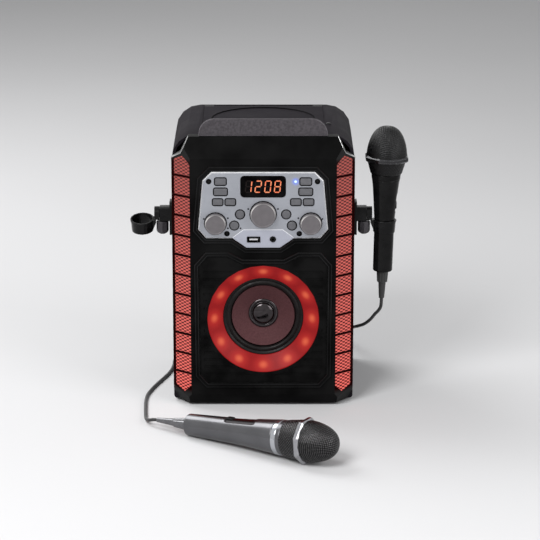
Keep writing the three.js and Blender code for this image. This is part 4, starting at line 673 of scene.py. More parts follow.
# Colour as sRGB shares or as one of the user's colours, roughness, clouds as size and amount, shine as size
# and the lowest and highest roughness. edge: the radius that edges seem rounded by. grain: size, detail,
# depth and strength of a fine bump, and what else noise() takes. worn: the colour of a painted
# highlight along edges or what it adds to the base colour, its radius and share. paints: an attribute, the
# colour or the factor of the base colour that it paints, and its share; some of these paint light and shade.
# more: what one material alone has.
LOOKS = dict((
    row("moulded charcoal", "rear_shell", 0.5, (60, 0.06), (30, 0.48, 0.54), edge=0.9,
        grain=(0.7, 2, 0.03, 0.2), worn=(0.08, 0.8, 0.35), specular_level=0.01),
    # Painted shade: slanted faces, such as the wall round the lid's dish, at 0.4 of the base colour
    row("lid charcoal", "rear_shell", 0.5, (40, 0.06), (20, 0.46, 0.52), paints=(("slant", 0.4),),
        grain=(0.7, 2, 0.02, 0.2), specular_level=0.01),
    row("moulded black", "front_shell", 0.33, (45, 0.08), (30, 0.28, 0.36), edge=0.7,
        grain=(0.6, 2, 0.02, 0.2), more=facets, worn=(0.2, 0.7, 0.35), specular_level=0.015),
    # Painted highlight strip, painted darker towards its back by its depth
    row("lit edge", (0.66, 0.66, 0.66), 0.25, (9, 0.06), (6, 0.2, 0.3),
        paints=(("depth", (0.06, 0.06, 0.06)),), metallic=0.4),
    # Painted highlight on the beads' edges
    row("bead edge", (0.105, 0.105, 0.11), 0.3, (50, 0.45), (10, 0.25, 0.4), specular_level=0.1),
    # Painted shade: near black in the gaps round keys, dials and grille and in the screw holes; the panel's
    # dots use it too
    row("dark gap", (0.02, 0.02, 0.021), 0.6, (3, 0.2), specular_level=0.05),
    row("grained gray", "lip", 0.62, (2.6, 0.2), edge=0.6, grain=(1.1, 4, 0.15, 0.7, (1, 1, 1), 0.6),
        worn=((0.62, 0.6, 0.63), 0.9, 0.7), specular_level=0.12),
    row("silver paint", "panel", 0.36, (30, 0.05), (6, 0.32, 0.42), more=panel_flakes_and_light,
        grain=(0.4, 2, 0.01, 0.2), metallic=0.55),
    # Painted highlight along the pod's ridge
    row("silver line", (0.92, 0.925, 0.94), 0.3, (8, 0.04), metallic=0.4),
    row("smoked window", (0.018, 0.015, 0.018), 0.08, (12, 0.2), (10, 0.05, 0.1), edge=0.4,
        specular_level=0.01),
    row("lit segment", (0.25, 0.03, 0.01), 0.4, more=lit_bar),
    row("unlit segment", (0.075, 0.045, 0.042), 0.4, (2, 0.25), specular_level=0.1),
    row("cold lamp", (0.75, 0.85, 0.95), 0.3, (0.8, 0.1), more=pilot_light),
    row("key gray", "keys", 0.42, (5, 0.06), (3, 0.36, 0.5), grain=(0.5, 2, 0.012, 0.3),
        specular_level=0.25),
    # Painted highlight on the dials' rims
    row("knob gray", "knobs", 0.42, (6, 0.05), (4, 0.38, 0.48), paints=(("rim", (0.85, 0.84, 0.83), 0.8),),
        grain=(0.4, 2, 0.012, 0.3), metallic=0.2),
    row("plated metal", (0.72, 0.71, 0.69), 0.24, (2.5, 0.1), (1.5, 0.18, 0.36), edge=0.25, metallic=1),
    row("socket shell", (0.1, 0.1, 0.1), 0.3, (2, 0.1), (1.5, 0.24, 0.36), metallic=0.9),
    row("tongue white", (0.74, 0.74, 0.75), 0.4, (1.5, 0.06), (1, 0.35, 0.45)),
    row("plain steel", (0.56, 0.57, 0.58), 0.34, (8, 0.1), (3, 0.26, 0.46), edge=0.3,
        grain=(0.8, 2, 0.01, 0.3, (20, 1, 1)), metallic=1),
    row("fitting black", "fittings", 0.3, (18, 0.12), (8, 0.24, 0.34), edge=0.5, grain=(0.7, 3, 0.02, 0.2),
        worn=(0.12, 0.6, 0.4), specular_level=0.12),
    row("bay gray", (0.125, 0.122, 0.13), 0.5, (12, 0.1), (6, 0.42, 0.54), edge=0.4,
        grain=(0.7, 3, 0.02, 0.25), worn=((0.26, 0.255, 0.27), 0.5, 0.5), specular_level=0.25),
    row("hub gray", (0.24, 0.24, 0.25), 0.32, (6, 0.08), (3, 0.26, 0.38), edge=0.4,
        worn=((0.5, 0.5, 0.52), 0.4, 0.6), specular_level=0.4),
    row("gloss fitting", "fittings", 0.16, (14, 0.1), (7, 0.12, 0.2), edge=0.6, specular_level=0.14),
    row("grille black", "grille", 0.5, (20, 0.15), edge=0.4, grain=(0.8, 3, 0.04, 0.4),
        specular_level=0.04),
    row("circuit green", (0.06, 0.25, 0.13), 0.35, (8, 0.1), more=circuit_tracks),
    row("soft rubber", "rubber", 0.55, (7, 0.18), (3, 0.48, 0.62), grain=(0.5, 3, 0.03, 0.35),
        sheen_weight=0.15),
    row("basket black", (0.04, 0.028, 0.028), 0.38, (10, 0.15), (4, 0.34, 0.5), grain=(0.6, 3, 0.03, 0.35),
        specular_level=0.15),
    row("pressed paper", "cone", 0.72, (1.2, 0.16), grain=(0.5, 5, 0.1, 0.6, (1, 1, 1), 0.65),
        specular_level=0.15),
    row("dark chrome", (0.24, 0.225, 0.23), 0.14, (5, 0.12), (4, 0.08, 0.2), metallic=1),
    row("gloss black", "black_handle", 0.2, (20, 0.15), (8, 0.1, 0.2),
        paints=(("inlay", (0.1, 0.1, 0.105)),), grain=(6, 1, 0.02, 0.15), specular_level=0.12),
    row("satin silver", "silver_handle", 0.26, (25, 0.06), more=brushed_handle,
        paints=(("bright ring", (0.7, 0.71, 0.73)), ("inlay", (0.11, 0.105, 0.11))), metallic=0.95),
    row("silver relief", (0.42, 0.42, 0.43), 0.22, (5, 0.1), (3, 0.18, 0.28), grain=(0.6, 2, 0.01, 0.2),
        metallic=0.85),
    row("black weave", (0.15, 0.15, 0.155), 0.3, None, (3, 0.24, 0.38), more=wires, metallic=0.6),
    row("steel weave", (0.42, 0.415, 0.42), 0.26, None, (3, 0.2, 0.34), more=wires, metallic=0.9),
    row("band black", (0.22, 0.22, 0.225), 0.2, (6, 0.15), (3, 0.16, 0.3), edge=0.7,
        worn=((0.75, 0.75, 0.77), 0.9, 0.6), metallic=0.9),
    row("band steel", (0.62, 0.62, 0.635), 0.16, (6, 0.1), (3, 0.12, 0.22), edge=0.7, metallic=1),
    row("thumb gray", (0.21, 0.2, 0.215), 0.45, (4, 0.08), (2, 0.34, 0.48), edge=0.4,
        grain=(0.6, 2, 0.02, 0.25), specular_level=0.3),
    row("ring glow", (0.38, 0.03, 0.03), 0.45, more=lit_ring, grain=(1.5, 2, 0.05, 0.2),
        specular_level=0.12),
    row("strip glow", (0.3, 0.03, 0.03), 0.35, None, (5, 0.3, 0.4), more=lit_strip, specular_level=0.2),
    row("studio floor", "floor", 0.85, (900, 0.01), specular_level=0.1),
))
FINISHES = {}


def built(name, colour, roughness, clouds=None, shine=None, edge=None, grain=None, worn=None, paints=(),
          more=None, **sockets):
    """A material from its row of the looks."""
    seen = tuple(getattr(colours(), colour)) if isinstance(colour, str) else colour
    made_up = Recipe(name, seen, roughness, **sockets)
    if clouds:
        made_up.mottled(*clouds)
    if shine:
        size, *roughnesses = shine
        cloud = made_up.between(made_up.noise(size, 3.0), *CLOUD_RANGE, *roughnesses)
        made_up.join(cloud, made_up.shader.inputs["Roughness"])
    if edge:
        made_up.normal = made_up.rounded(edge)
    for title, painted, *share in paints:
        painted = tuple(c * painted for c in seen) if isinstance(painted, float) else painted
        made_up.paint(made_up.attribute(title, *share), linear(painted))
    if more:
        more(made_up)
    if grain:
        size, detail, depth, strength, *how = grain
        made_up.bump(made_up.noise(size, detail, *how), depth, strength)
    # Painted highlight along edges
    if worn:
        highlight_colour, radius, share = worn
        highlight_colour = tuple(min(1.0, c + highlight_colour) for c in seen) if isinstance(highlight_colour, float) else highlight_colour
        made_up.painted_edge_highlights(highlight_colour, radius, share)
    if made_up.normal is not None:
        made_up.join(made_up.normal, made_up.shader.inputs["Normal"])
    return made_up.material


def finish(name):
    """Makes each material once, so that pieces share it."""
    if name not in FINISHES:
        first, rest = LOOKS[name]
        FINISHES[name] = built(name, *first, **rest)
    return FINISHES[name]


# Sizes and colours that a user would change

def colour_choice(name, description, default):
    return FloatVectorProperty(name=name, description=description, default=default, min=0, max=1, size=3,
                               subtype="COLOR_GAMMA")


def length_choice(name, description, default, low, high):
    return FloatProperty(name=name, description=description, default=default, min=low, max=high,
                         unit="LENGTH", subtype="DISTANCE")


class KaraokeColours(bpy.types.PropertyGroup):
    """Colours as they look, in sRGB shares, and how strongly the lit parts glow."""

    rear_shell: colour_choice("Rear shell", "Colour of the rear shell and the lid", (0.115, 0.104, 0.122))
    front_shell: colour_choice("Front shell", "Colour of the faceted front shell", (0.04, 0.039, 0.04))
    lip: colour_choice("Lip", "Colour of the grained lip along the top", (0.255, 0.242, 0.256))
    panel: colour_choice("Control panel", "Colour of the panel's silver paint", (0.59, 0.6, 0.628))
    keys: colour_choice("Keys", "Colour of the push keys", (0.36, 0.36, 0.375))
    knobs: colour_choice("Dials", "Colour of the three dials", (0.38, 0.365, 0.375))
    grille: colour_choice("Grille", "Colour of the plate round the loudspeaker", (0.025, 0.024, 0.025))
    cone: colour_choice("Cone", "Colour of the loudspeaker's paper cone", (0.3, 0.18, 0.19))
    fittings: colour_choice("Fittings", "Colour of the holders and the jack plate", (0.04, 0.04, 0.043))
    rubber: colour_choice("Rubber", "Colour of the cords and their reliefs", (0.075, 0.073, 0.076))
    black_handle: colour_choice("Black microphone", "Colour of its handle", (0.022, 0.021, 0.023))
    silver_handle: colour_choice("Silver microphone", "Colour of its handle", (0.38, 0.38, 0.39))
    floor: colour_choice("Floor", "Colour of the studio floor", (0.86, 0.86, 0.865))
    glow: FloatProperty(name="Glow", description="Strength of the lit ring, strips and digits", default=1.0,
                        min=0, max=4, subtype="FACTOR")
    ring_lamps: IntProperty(name="Ring lamps", description="Warm spots round the lit ring", default=12,
                            min=3, max=36)


class KaraokeSizes(bpy.types.PropertyGroup):
    """Sizes of the finish, in metres, and of the studio."""

    cord_diameter: length_choice("Cord diameter", "Thickness of the microphone cords", 0.004, 0.002, 0.006)
    weave_pitch: length_choice("Weave pitch", "Distance between a mesh's wires", 0.003, 0.001, 0.006)
    weave_depth: length_choice("Weave depth", "How far the wires stand out of the mesh", 0.0006, 0.0, 0.001)
    lens: FloatProperty(name="Camera lens", description="Focal length of the studio camera, in millimetres",
                        default=159.3, min=20, max=400)
    lamp_power: FloatProperty(name="Lamp power", description="Power of the main lamp; the others follow it",
                              default=38.0, min=0, max=500, unit="POWER")


def colours():
    return bpy.context.scene.karaoke_colours


def sizes():
    return bpy.context.scene.karaoke_sizes


# Studio: camera, floor, lamps and world

CAMERA_AT = (8.0, -2685.0, 965.0)
CAMERA_AIM = (8.0, 0.0, 170.2)
LAMP_AIM = (0.0, 60.0, 150.0)
FLOOR_HALF = 4000.0
LAMPS = (
    ("main lamp", (-900.0, -1500.0, 1700.0), 1000.0, 1.0),
    ("side lamp", (1500.0, -1100.0, 900.0), 1100.0, 0.45),
    ("rear lamp", (-1120.0, 920.0, 1600.0), 1200.0, 0.62),
)
# The world lights the scene less strongly than it shows to the camera and in reflections
WORLD_LIGHT = 0.3
WORLD_SEEN = 0.86


def aimed(name, data, place, target):
    """A camera or lamp at one place that looks at another."""
    thing = added(name, data)
    thing.location = spot(*place)
    thing.rotation_euler = (Vector(spot(*target)) - thing.location).to_track_quat("-Z", "Y").to_euler()
    return thing


def make_stage():
    scene = bpy.context.scene
    scene.view_settings.view_transform = "Standard"
    data = bpy.data.cameras.new("studio camera")
    data.lens = sizes().lens
    data.sensor_width = 36.0
    data.clip_end = 50.0
    scene.camera = aimed("studio camera", data, CAMERA_AT, CAMERA_AIM)

    mesh = bpy.data.meshes.new("studio floor")
    corners = [(x * FLOOR_HALF, y * FLOOR_HALF, 0.0) for x, y in ((-1, -1), (1, -1), (1, 1), (-1, 1))]
    mesh.from_pydata(placed(corners).tolist(), [], [(0, 1, 2, 3)])
    mesh.materials.append(finish("studio floor"))
    added("studio floor", mesh)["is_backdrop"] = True

    for name, place, size, share in LAMPS:
        light = bpy.data.lights.new(name, "AREA")
        light.shape = "SQUARE"
        light.size = size * MM
        light.energy = sizes().lamp_power * share
        aimed(name, light, place, LAMP_AIM)

    world = bpy.data.worlds.new("studio")
    world.use_nodes = True
    scene.world = world
    tree = world.node_tree
    plain, seen = tree.nodes["Background"], tree.nodes.new("ShaderNodeBackground")
    for background, strength in ((plain, WORLD_LIGHT), (seen, WORLD_SEEN)):
        background.inputs["Color"].default_value = (1.0, 1.0, 1.0, 1.0)
        background.inputs["Strength"].default_value = strength
    path = tree.nodes.new("ShaderNodeLightPath")
    shown = path.outputs["Is Camera Ray"]
    for ray in ("Is Glossy Ray", "Is Transmission Ray"):
        either = tree.nodes.new("ShaderNodeMath")
        either.operation = "MAXIMUM"
        tree.links.new(shown, either.inputs[0])
        tree.links.new(path.outputs[ray], either.inputs[1])
        shown = either.outputs[0]
    choice = tree.nodes.new("ShaderNodeMixShader")
    for source, target in zip((shown, plain.outputs[0], seen.outputs[0]), choice.inputs):
        tree.links.new(source, target)
    tree.links.new(choice.outputs[0], tree.nodes["World Output"].inputs["Surface"])


# Cords: each lies where its CAD solid lies, on the same points

CORD_RADIUS = 2.0
CORD_SIDES = 14
CORD_STEP = 3.0
COIL_MIDDLE = 24.0
COIL_PITCH = 5.2
COIL_LAYER = 4.8
COIL_LAYERS = 4
COIL_LAYER_TURNS = 1.75
COIL_SWAP_TURNS = 0.5
COIL_RAMP_TURNS = 0.75
COIL_OUTSET = 6.3
COIL_LANDING_SHARE = 0.35
COIL_LEAD = 4.0
COIL_STEPS = 40
PLUG_RADIUS = 5.0
COIL_TURNS = COIL_LAYERS * COIL_LAYER_TURNS + (COIL_LAYERS - 1) * COIL_SWAP_TURNS + COIL_RAMP_TURNS
BLACK_COIL = (28.0, 277.5, math.radians(90.0))
SILVER_COIL = (-62.0, 232.0, math.radians(-90.0))
BLACK_ROUTE = (
    (140.99, 40, 123.6), (140.85, 40, 118.6), (140.3, 41.5, 112.4), (138, 47, 106), (134.6, 57.5, 98.5),
    (130.2, 80, 84.5), (124.6, 112, 68.5), (119.5, 140, 57), (114.5, 168, 46.5), (110.5, 193, 37.5),
    (106, 217, 29), (100, 241, 20.5), (92, 263, 12.8), (82, 281.5, 7), (68, 296, 3.4), (53, 304.5, 2.1),
    (42, 306.7, 2),
)
SILVER_ROUTE = (
    (-127.5, -67, 8.4), (-132, -63, 6.5), (-135.6, -56, 4.2), (-137.6, -44, 2.4), (-138.8, -28, 2),
    (-139.8, -8, 2), (-140.6, 16, 2), (-139.3, 39, 2), (-133.1, 66.4, 2), (-124.3, 94.3, 2), (-116, 122, 2),
    (-112.6, 145, 2), (-112, 166, 2), (-110.5, 183, 2), (-104, 196, 2), (-92, 201.8, 2), (-78, 202.8, 2),
)
BLACK_SPLIT = BLACK_ROUTE[5]
BLACK_REST = BLACK_ROUTE[12]
SILVER_REST = SILVER_ROUTE[5]
SILVER_CORD_EXIT = -45.3
CORD_GAP = 0.3
# A plug's profiles, as radius and distance along it
PLUG_BOOT = ((0, 0), (2.7, 0), (3.2, 5), (4.0, 11.8), (0, 11.8))
PLUG_METAL = ((0, 11.8), (4.6, 11.8), (5.0, 12.6), (5.0, 18), (4.7, 18.6), (4.7, 19.4), (5.0, 20),
              (5.0, 33), (4.6, 34), (4.0, 34.2), (4.0, 36.5), (3.17, 36.5), (3.17, 46), (2.95, 46.2),
              (2.95, 47.2), (3.17, 47.4), (3.17, 55.4), (2.6, 56.4), (2.2, 57.4), (3.0, 59.4), (1.0, 62.4),
              (0, 62.5))
PLUG_ROUNDING = 0.3
BOOT_ROUNDING = 0.4


def eased(share):
    """A share held between 0 and 1, and eased at both ends."""
    s = np.clip(share, 0.0, 1.0)
    return s * s * (3 - 2 * s)


def wound(coil):
    """The coil's centre line: each layer spirals in or out at a steady rate, the cord climbs a layer in the
    half turn between two, and at last it comes down outside the pile."""
    x, y, start = coil
    turn = np.linspace(0.0, COIL_TURNS, int(round(COIL_TURNS * COIL_STEPS)) + 1)
    span = COIL_LAYER_TURNS + COIL_SWAP_TURNS
    layer = np.minimum(COIL_LAYERS - 1, np.floor(turn / span))
    within = turn - layer * span
    across = np.minimum(within, COIL_LAYER_TURNS) * COIL_PITCH
    outer = COIL_MIDDLE + COIL_PITCH * COIL_LAYER_TURNS / 2
    inner = outer - COIL_LAYER_TURNS * COIL_PITCH
    radius = np.where(layer % 2 == 1, inner + across, outer - across)
    height = CORD_RADIUS + layer * COIL_LAYER
    past = np.maximum(within - COIL_LAYER_TURNS, 0.0)
    last = layer == COIL_LAYERS - 1
    height = height + np.where(last, 0.0, COIL_LAYER * eased(past / COIL_SWAP_TURNS))
    radius = radius + np.where(last, COIL_OUTSET * eased(2 * past / COIL_RAMP_TURNS), 0.0)
    landing = eased((past / COIL_RAMP_TURNS - COIL_LANDING_SHARE) / (1 - COIL_LANDING_SHARE))
    height = np.where(last, height + (PLUG_RADIUS - height) * landing, height)
    angle = start + 2 * math.pi * turn
    points = np.stack([x + radius * np.cos(angle), y + radius * np.sin(angle), height], -1)
    ends = np.array([start, start + 2 * math.pi * COIL_TURNS])
    ways = np.stack([-np.sin(ends), np.cos(ends), np.zeros(2)], -1) * COIL_LEAD
    return np.vstack([points[:1] - ways[:1], points, points[-1:] + ways[1:]])


def smooth_route(points):
    """A centripetal Catmull-Rom curve through points, as even short steps: the knots are spaced by the
    square root of the distance, and each stretch blends the lines through its four nearest points."""
    points = np.asarray(points, float)
    padded = np.vstack([2 * points[:1] - points[1:2], points, 2 * points[-1:] - points[-2:-1]])
    knots = np.concatenate([[0.0], np.cumsum(np.linalg.norm(np.diff(padded, axis=0), axis=1) ** 0.5)])
    lengths = np.linalg.norm(np.diff(points, axis=0), axis=1)
    pieces = []
    for i, long in enumerate(lengths):
        p0, p1, p2, p3 = padded[i:i + 4]
        t0, t1, t2, t3 = knots[i:i + 4]
        t = np.linspace(t1, t2, max(2, int(math.ceil(long / CORD_STEP)) + 1))[:-1, None]
        a1 = (t1 - t) / (t1 - t0) * p0 + (t - t0) / (t1 - t0) * p1
        a2 = (t2 - t) / (t2 - t1) * p1 + (t - t1) / (t2 - t1) * p2
        a3 = (t3 - t) / (t3 - t2) * p2 + (t - t2) / (t3 - t2) * p3
        b1 = (t2 - t) / (t2 - t0) * a1 + (t - t0) / (t2 - t0) * a2
        b2 = (t3 - t) / (t3 - t1) * a2 + (t - t1) / (t3 - t1) * a3
        pieces.append((t2 - t) / (t2 - t1) * b1 + (t - t1) / (t2 - t1) * b2)
    return np.vstack([*pieces, points[-1:]])


def jack_plug(name, coil_path):
    """A plug at a coil's end: rubber boot, metal grip, ringed shank and tip, about the cord's way."""
    end = np.array([coil_path[-1][0], coil_path[-1][1], PLUG_RADIUS])
    way = coil_path[-1] - coil_path[-2]
    way[2] = 0.0
    way /= np.linalg.norm(way)
    matrix = axis_frame(end + way * CORD_GAP, (math.atan2(way[1], way[0]), "Z"), (math.pi / 2, "Y"))
    boot = turned(name + "_boot", softened(PLUG_BOOT, BOOT_ROUNDING), matrix, 32)
    metal = turned(name + "_metal", softened(PLUG_METAL, PLUG_ROUNDING), matrix, 48)
    return (dressed(boot, "soft rubber"),
            dressed(metal, "plated metal", nodes=[name]))


def before_coil(coil):
    """The last point of a route, just ahead of where its coil starts."""
    way = coil[0] - coil[1]
    return coil[0] + way / np.linalg.norm(way) * (COIL_LEAD + CORD_GAP)


def lay_cord(name, path, start, rest, bodies, nodes=(), far_end="plug", lay="coiled", **plugs):
    """A cord along a path, laid as a rubber tube that stays in place; the start, the rest and the bodies are
    not used.
    """
    thick = sizes().cord_diameter
    cord = tube(name, path, thick / 2 / MM, CORD_SIDES)
    dressed(cord, "soft rubber", "cabinet", nodes)
    cord.parent = None
    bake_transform(cord)


def make_cords():
    coil = wound(BLACK_COIL)
    loose = smooth_route([*BLACK_ROUTE, before_coil(coil)])
    split = int(np.argmin(np.linalg.norm(loose - np.array(BLACK_SPLIT), axis=1)))
    plugs = jack_plug("black_mic_plug", coil)
    lay_cord("black_cord_hanging", loose[:split + 1], spot(*BLACK_ROUTE[0]), spot(*BLACK_SPLIT),
             ("black_mic", "right_cup_arm"), far_end="object", lay="hanging")
    lay_cord("black_cord_lying", np.vstack([loose[split:], coil]), spot(*BLACK_SPLIT), spot(*BLACK_REST),
             ("right_cup_arm", "cabinet"), ["black_mic_cord", "black_mic_coil"], with_pieces=plugs)

    coil = wound(SILVER_COIL)
    start = moved([(0.0, 0.0, SILVER_CORD_EXIT)], silver_frame())[0]
    whole = np.vstack([smooth_route([start, *SILVER_ROUTE, before_coil(coil)]), coil])
    lay_cord("silver_cord", whole, spot(*start), spot(*SILVER_REST), ("silver_mic", "cabinet"),
             ["silver_mic_cord", "silver_mic_coil"], with_pieces=jack_plug("silver_mic_plug", coil))


def silver_frame():
    """The silver microphone's own frame: its tail at the origin, its head along z, its switch at -y."""
    turns = (SILVER_YAW, "Z"), (math.pi / 2 - SILVER_PITCH, "Y"), (-math.pi / 2, "Z")
    return axis_frame(SILVER_TAIL, *turns)


# Shells

# Painted highlight along the top edges of the front shell's ears: a bright strip, painted darker towards its
# back by the shares
EAR_EDGE = ((107.0, 16.5, 302.0), (96.0, 8.25, 309.0), (92.5, 5.65, 316.3), (87.0, 11.0, 328.0))
EAR_SECTION = ((0.1, -0.3), (-0.3, -0.1), (-0.3, 0.25), (0.4, 0.35), (1.6, 0.5), (3.0, 0.6), (4.5, 0.5),
               (4.5, -0.3))
EAR_SHARES = (0.0, 0.0, 0.0, 0.05, 0.3, 0.7, 1.0, 1.0)
EAR_SWELL = 2.6
EAR_STEP = 3.0


def divided_path(path, step):
    """Adds even points along a path in space."""
    path = np.asarray(path, float)
    along = np.concatenate([[0.0], np.cumsum(np.linalg.norm(np.diff(path, axis=0), axis=1))])
    even = np.union1d(np.arange(0.0, along[-1], step), along)
    return np.stack([np.interp(even, along, path[:, k]) for k in range(3)], -1)


def make_shells():
    dress_nodes(
        ("rear_cabinet", "moulded charcoal", "charcoal_shell"),
        ("front_cabinet", "moulded black", "black_shell", "cabinet", 20.0),
        ("cradle_lip", "grained gray", "gray_lip"),
    )
    # Painted highlights along the ears' top edges
    edges = []
    for hand in (1, -1):
        path = divided_path((np.array(EAR_EDGE) * (hand, 1, 1))[::hand], EAR_STEP)
        swell = 1.0 + EAR_SWELL * np.sin(np.linspace(0.0, math.pi, len(path)))
        edges.append(edging(f"corner_edge_{len(edges)}", path, EAR_SECTION, EAR_SHARES, swell))
    dressed(joined("corner_edges", edges), "lit edge", "cabinet")


# Control panel with its window, digits, sockets and small marks

PANEL_OUTLINE = mirrored_outline(((0.258, 1), (0.472, 0.877), (0.877, 0.877), (1, 0.758), (0.93, 0.115),
                                  (0.793, 0)), 75.9, 288.8, 91.2)
GRILLE_OUTLINE = mirrored_outline(((0.863, 1), (0.987, 0.932), (1, 0.077), (0.863, 0), (0.567, 0),
                                   (0.343, 0.056)), 75.0, 185.9, 155.0)
# Painted highlights along the edges of the beads round the panel and grille: their offsets out from the
# outlines, width and depths
BEAD_HIGHLIGHT_OFFSETS = (1.6, 4.9)
BEAD_HIGHLIGHT_WIDTH = 0.6
BEAD_HIGHLIGHT_DEPTHS = (-BEAD_HEIGHT - 0.06, -BEAD_HEIGHT + 0.2)
# Edges and depths of the painted shade in the gap round the grille
GRILLE_GAP_EDGES = (-0.4, 1.2)
GRILLE_GAP_DEPTHS = (-0.06, 0.35)
POD_RIDGE = ((-35.4, -1.5, 210.1), (-23.0, -1.5, 219.5), (23.0, -1.5, 219.5), (35.4, -1.5, 210.1))
# Section and step of the painted highlight, a thin bright strip along the pod's ridge
RIDGE_HIGHLIGHT_SECTION = ((0.3, -0.45), (-0.08, -0.3), (-0.08, 0.3), (0.3, 0.45))
RIDGE_HIGHLIGHT_STEP = 4.0

# Small turned forms on the panel, as radius and depth behind its face, and where they stand
SCREW_HEAD = softened(((0, 1.3), (0.8, 1.3), (1.0, 0.9), (1.6, 1.0), (1.9, 1.4), (1.9, 1.75), (0, 1.75)), 0.2)
SCREW_HOLE = ((0, 1.7), (2.8, 1.7), (2.85, -0.05), (3.3, -0.05), (3.3, 0.2), (3.05, 0.3), (3.05, 1.95),
              (0, 1.95))
PANEL_DOT = softened(((0, -0.12), (0.9, -0.12), (1.1, 0.05), (1.1, 0.4), (0, 0.4)), 0.1)
PILOT_LAMP = softened(((0, -0.6), (1.1, -0.45), (1.6, 0.1), (1.65, 2.5), (0, 2.5)), 0.3)
PANEL_SCREWS = ((-63.1, 277.5), (63.1, 277.5), (-42.2, 214.8), (42.2, 214.8))
PANEL_DOTS = ((17.3, 244.6), (-17.3, 244.6), (69.0, 232.6), (-69.0, 232.6), (41.0, 233.5), (-41.0, 233.5),
              (-41.0, 221.3), (-26.4, 221.3))
LED_AT = (37.7, 277.4)

USB_TONGUE = ((-16.1, -0.6, 206.5), (-6.1, 11.0, 208.5))
TONGUE_EDGE = 0.2
TONGUE_CROWN = 0.05
TONGUE_CORNER = 0.3
WINDOW_Z = 271.3
DIGITS = "1208"
DIGIT_PITCH = 11.2
DIGIT_HALF = (3.2, 6.7)
DIGIT_LEAN = math.radians(6.0)
DIGIT_DEPTHS = (PANEL_FACE + 0.27, PANEL_FACE + 0.5)
SEGMENT_HALF = 0.62
SEGMENT_GAP = 0.35
# A digit's seven bars: middle as shares of the half width and height, and whether the bar stands upright
SEGMENT_PLACES = {
    "a": (0, 1, False), "b": (1, 0.5, True), "c": (1, -0.5, True), "d": (0, -1, False),
    "e": (-1, -0.5, True), "f": (-1, 0.5, True), "g": (0, 0, False),
}
LIT_SEGMENTS = {"0": "abcdef", "1": "bc", "2": "abdeg", "8": "abcdefg"}


def segment(name, x, z, upright):
    """One bar of a digit: a long hexagon that leans with the digit, a hair proud of the window."""
    long = (DIGIT_HALF[1] / 2 if upright else DIGIT_HALF[0]) - SEGMENT_GAP
    half = SEGMENT_HALF
    short = long - half
    right = np.array([(short, -half), (long, 0), (short, half)])
    outline = np.vstack([right, -right])
    if upright:
        outline = outline[:, ::-1] * (1, -1)
    outline = outline + (x, z)
    outline[:, 0] += (outline[:, 1] - WINDOW_Z) * math.tan(DIGIT_LEAN)
    return plate(name, outline, *DIGIT_DEPTHS)


def on_panel(name, profile, place, sides):
    """A small turned form on the panel, its profile measured from the panel's face."""
    return turned(name, np.array(profile) + (0.0, PANEL_FACE), facing_back(*place), sides)


def make_panel():
    dress_nodes(
        ("control_panel", "silver paint", "silver_panel", "cabinet", 2.0, (0, 1, 0)),
        ("display_window", "smoked window", "dark_window"),
        ("control_board", "circuit green", "green_board"),
        ("aux_socket", "fitting black", "black_fittings"),
        ("usb_socket", "socket shell", "plated_metal"),
    )
    bars = {True: [], False: []}
    for place, figure in enumerate(DIGITS):
        x = (place - (len(DIGITS) - 1) / 2) * DIGIT_PITCH
        for bar, (across, up, upright) in SEGMENT_PLACES.items():
            z = WINDOW_Z + up * DIGIT_HALF[1]
            piece = segment(f"digit_{place}_{bar}", x + across * DIGIT_HALF[0], z, upright)
            bars[bar in LIT_SEGMENTS[figure]].append(piece)
    dressed(joined("lit_digits", bars[True]), "lit segment", "cabinet")
    dressed(joined("unlit_digits", bars[False]), "unlit segment", "cabinet")
    # Painted highlights: thin lighter rings along the beads' edges
    lines = []
    for outline in (PANEL_OUTLINE, GRILLE_OUTLINE):
        for distance in BEAD_HIGHLIGHT_OFFSETS:
            edges = grown(outline, distance), grown(outline, distance + BEAD_HIGHLIGHT_WIDTH)
            lines.append(ring_plate(f"bead_line_{len(lines)}", *edges, *BEAD_HIGHLIGHT_DEPTHS))
    dressed(joined("bead_lines", lines), "bead edge", "cabinet")
    # Painted shade in the gap round the grille
    edges = [grown(GRILLE_OUTLINE, distance) for distance in GRILLE_GAP_EDGES]
    dressed(ring_plate("grille_gap", *edges, *GRILLE_GAP_DEPTHS), "dark gap", "cabinet")
    # Painted highlight: a thin bright strip along the pod's ridge
    ridge = edging("pod_ridge", divided_path(POD_RIDGE, RIDGE_HIGHLIGHT_STEP), RIDGE_HIGHLIGHT_SECTION)
    dressed(ridge, "silver line", "cabinet")
    # Screws, the painted shade that lines their holes, and near-black dots
    for name, profile, places, sides, look in (
        ("panel_screws", SCREW_HEAD, PANEL_SCREWS, 32, "fitting black"),
        ("panel_screw_holes", SCREW_HOLE, PANEL_SCREWS, 40, "dark gap"),
        ("panel_dots", PANEL_DOT, PANEL_DOTS, 20, "dark gap"),
    ):
        marks = [on_panel(f"{name}_{i}", profile, place, sides) for i, place in enumerate(places)]
        dressed(joined(name, marks), look, "cabinet")
    dressed(on_panel("panel_lamp", PILOT_LAMP, LED_AT, 32), "cold lamp", "cabinet")
    tongue = oblong_cap("usb_tongue", *USB_TONGUE, TONGUE_EDGE, TONGUE_CROWN, TONGUE_CORNER, 4)
    dressed(tongue, "tongue white", "cabinet")


# Keys and dials

PUSH_KEYS = ("function", "record", "previous", "next", "power", "light", "program", "stop")
ROUND_KEYS = ("volume_down", "echo_down", "volume_up", "echo_up")
DIALS = ("volume", "echo", "microphone")
KEY_FLANGE = 0.7
KEY_FRONT = -3.4
KEY_BACK = 2.4
KEY_CORNER = 1.7
KEY_EDGE = 1.0
KEY_CROWN = 0.25
KEY_INSET = 0.8
KEY_RAISED = 0.35
KEY_ROUNDING = 0.5
# Corners of a round key's front: share of its radius, step in from there, and depth behind its front
ROUND_KEY_RIM = ((0.55, 0, 0.12), (1, 0.6, 0.4), (1, 0, 1.0))
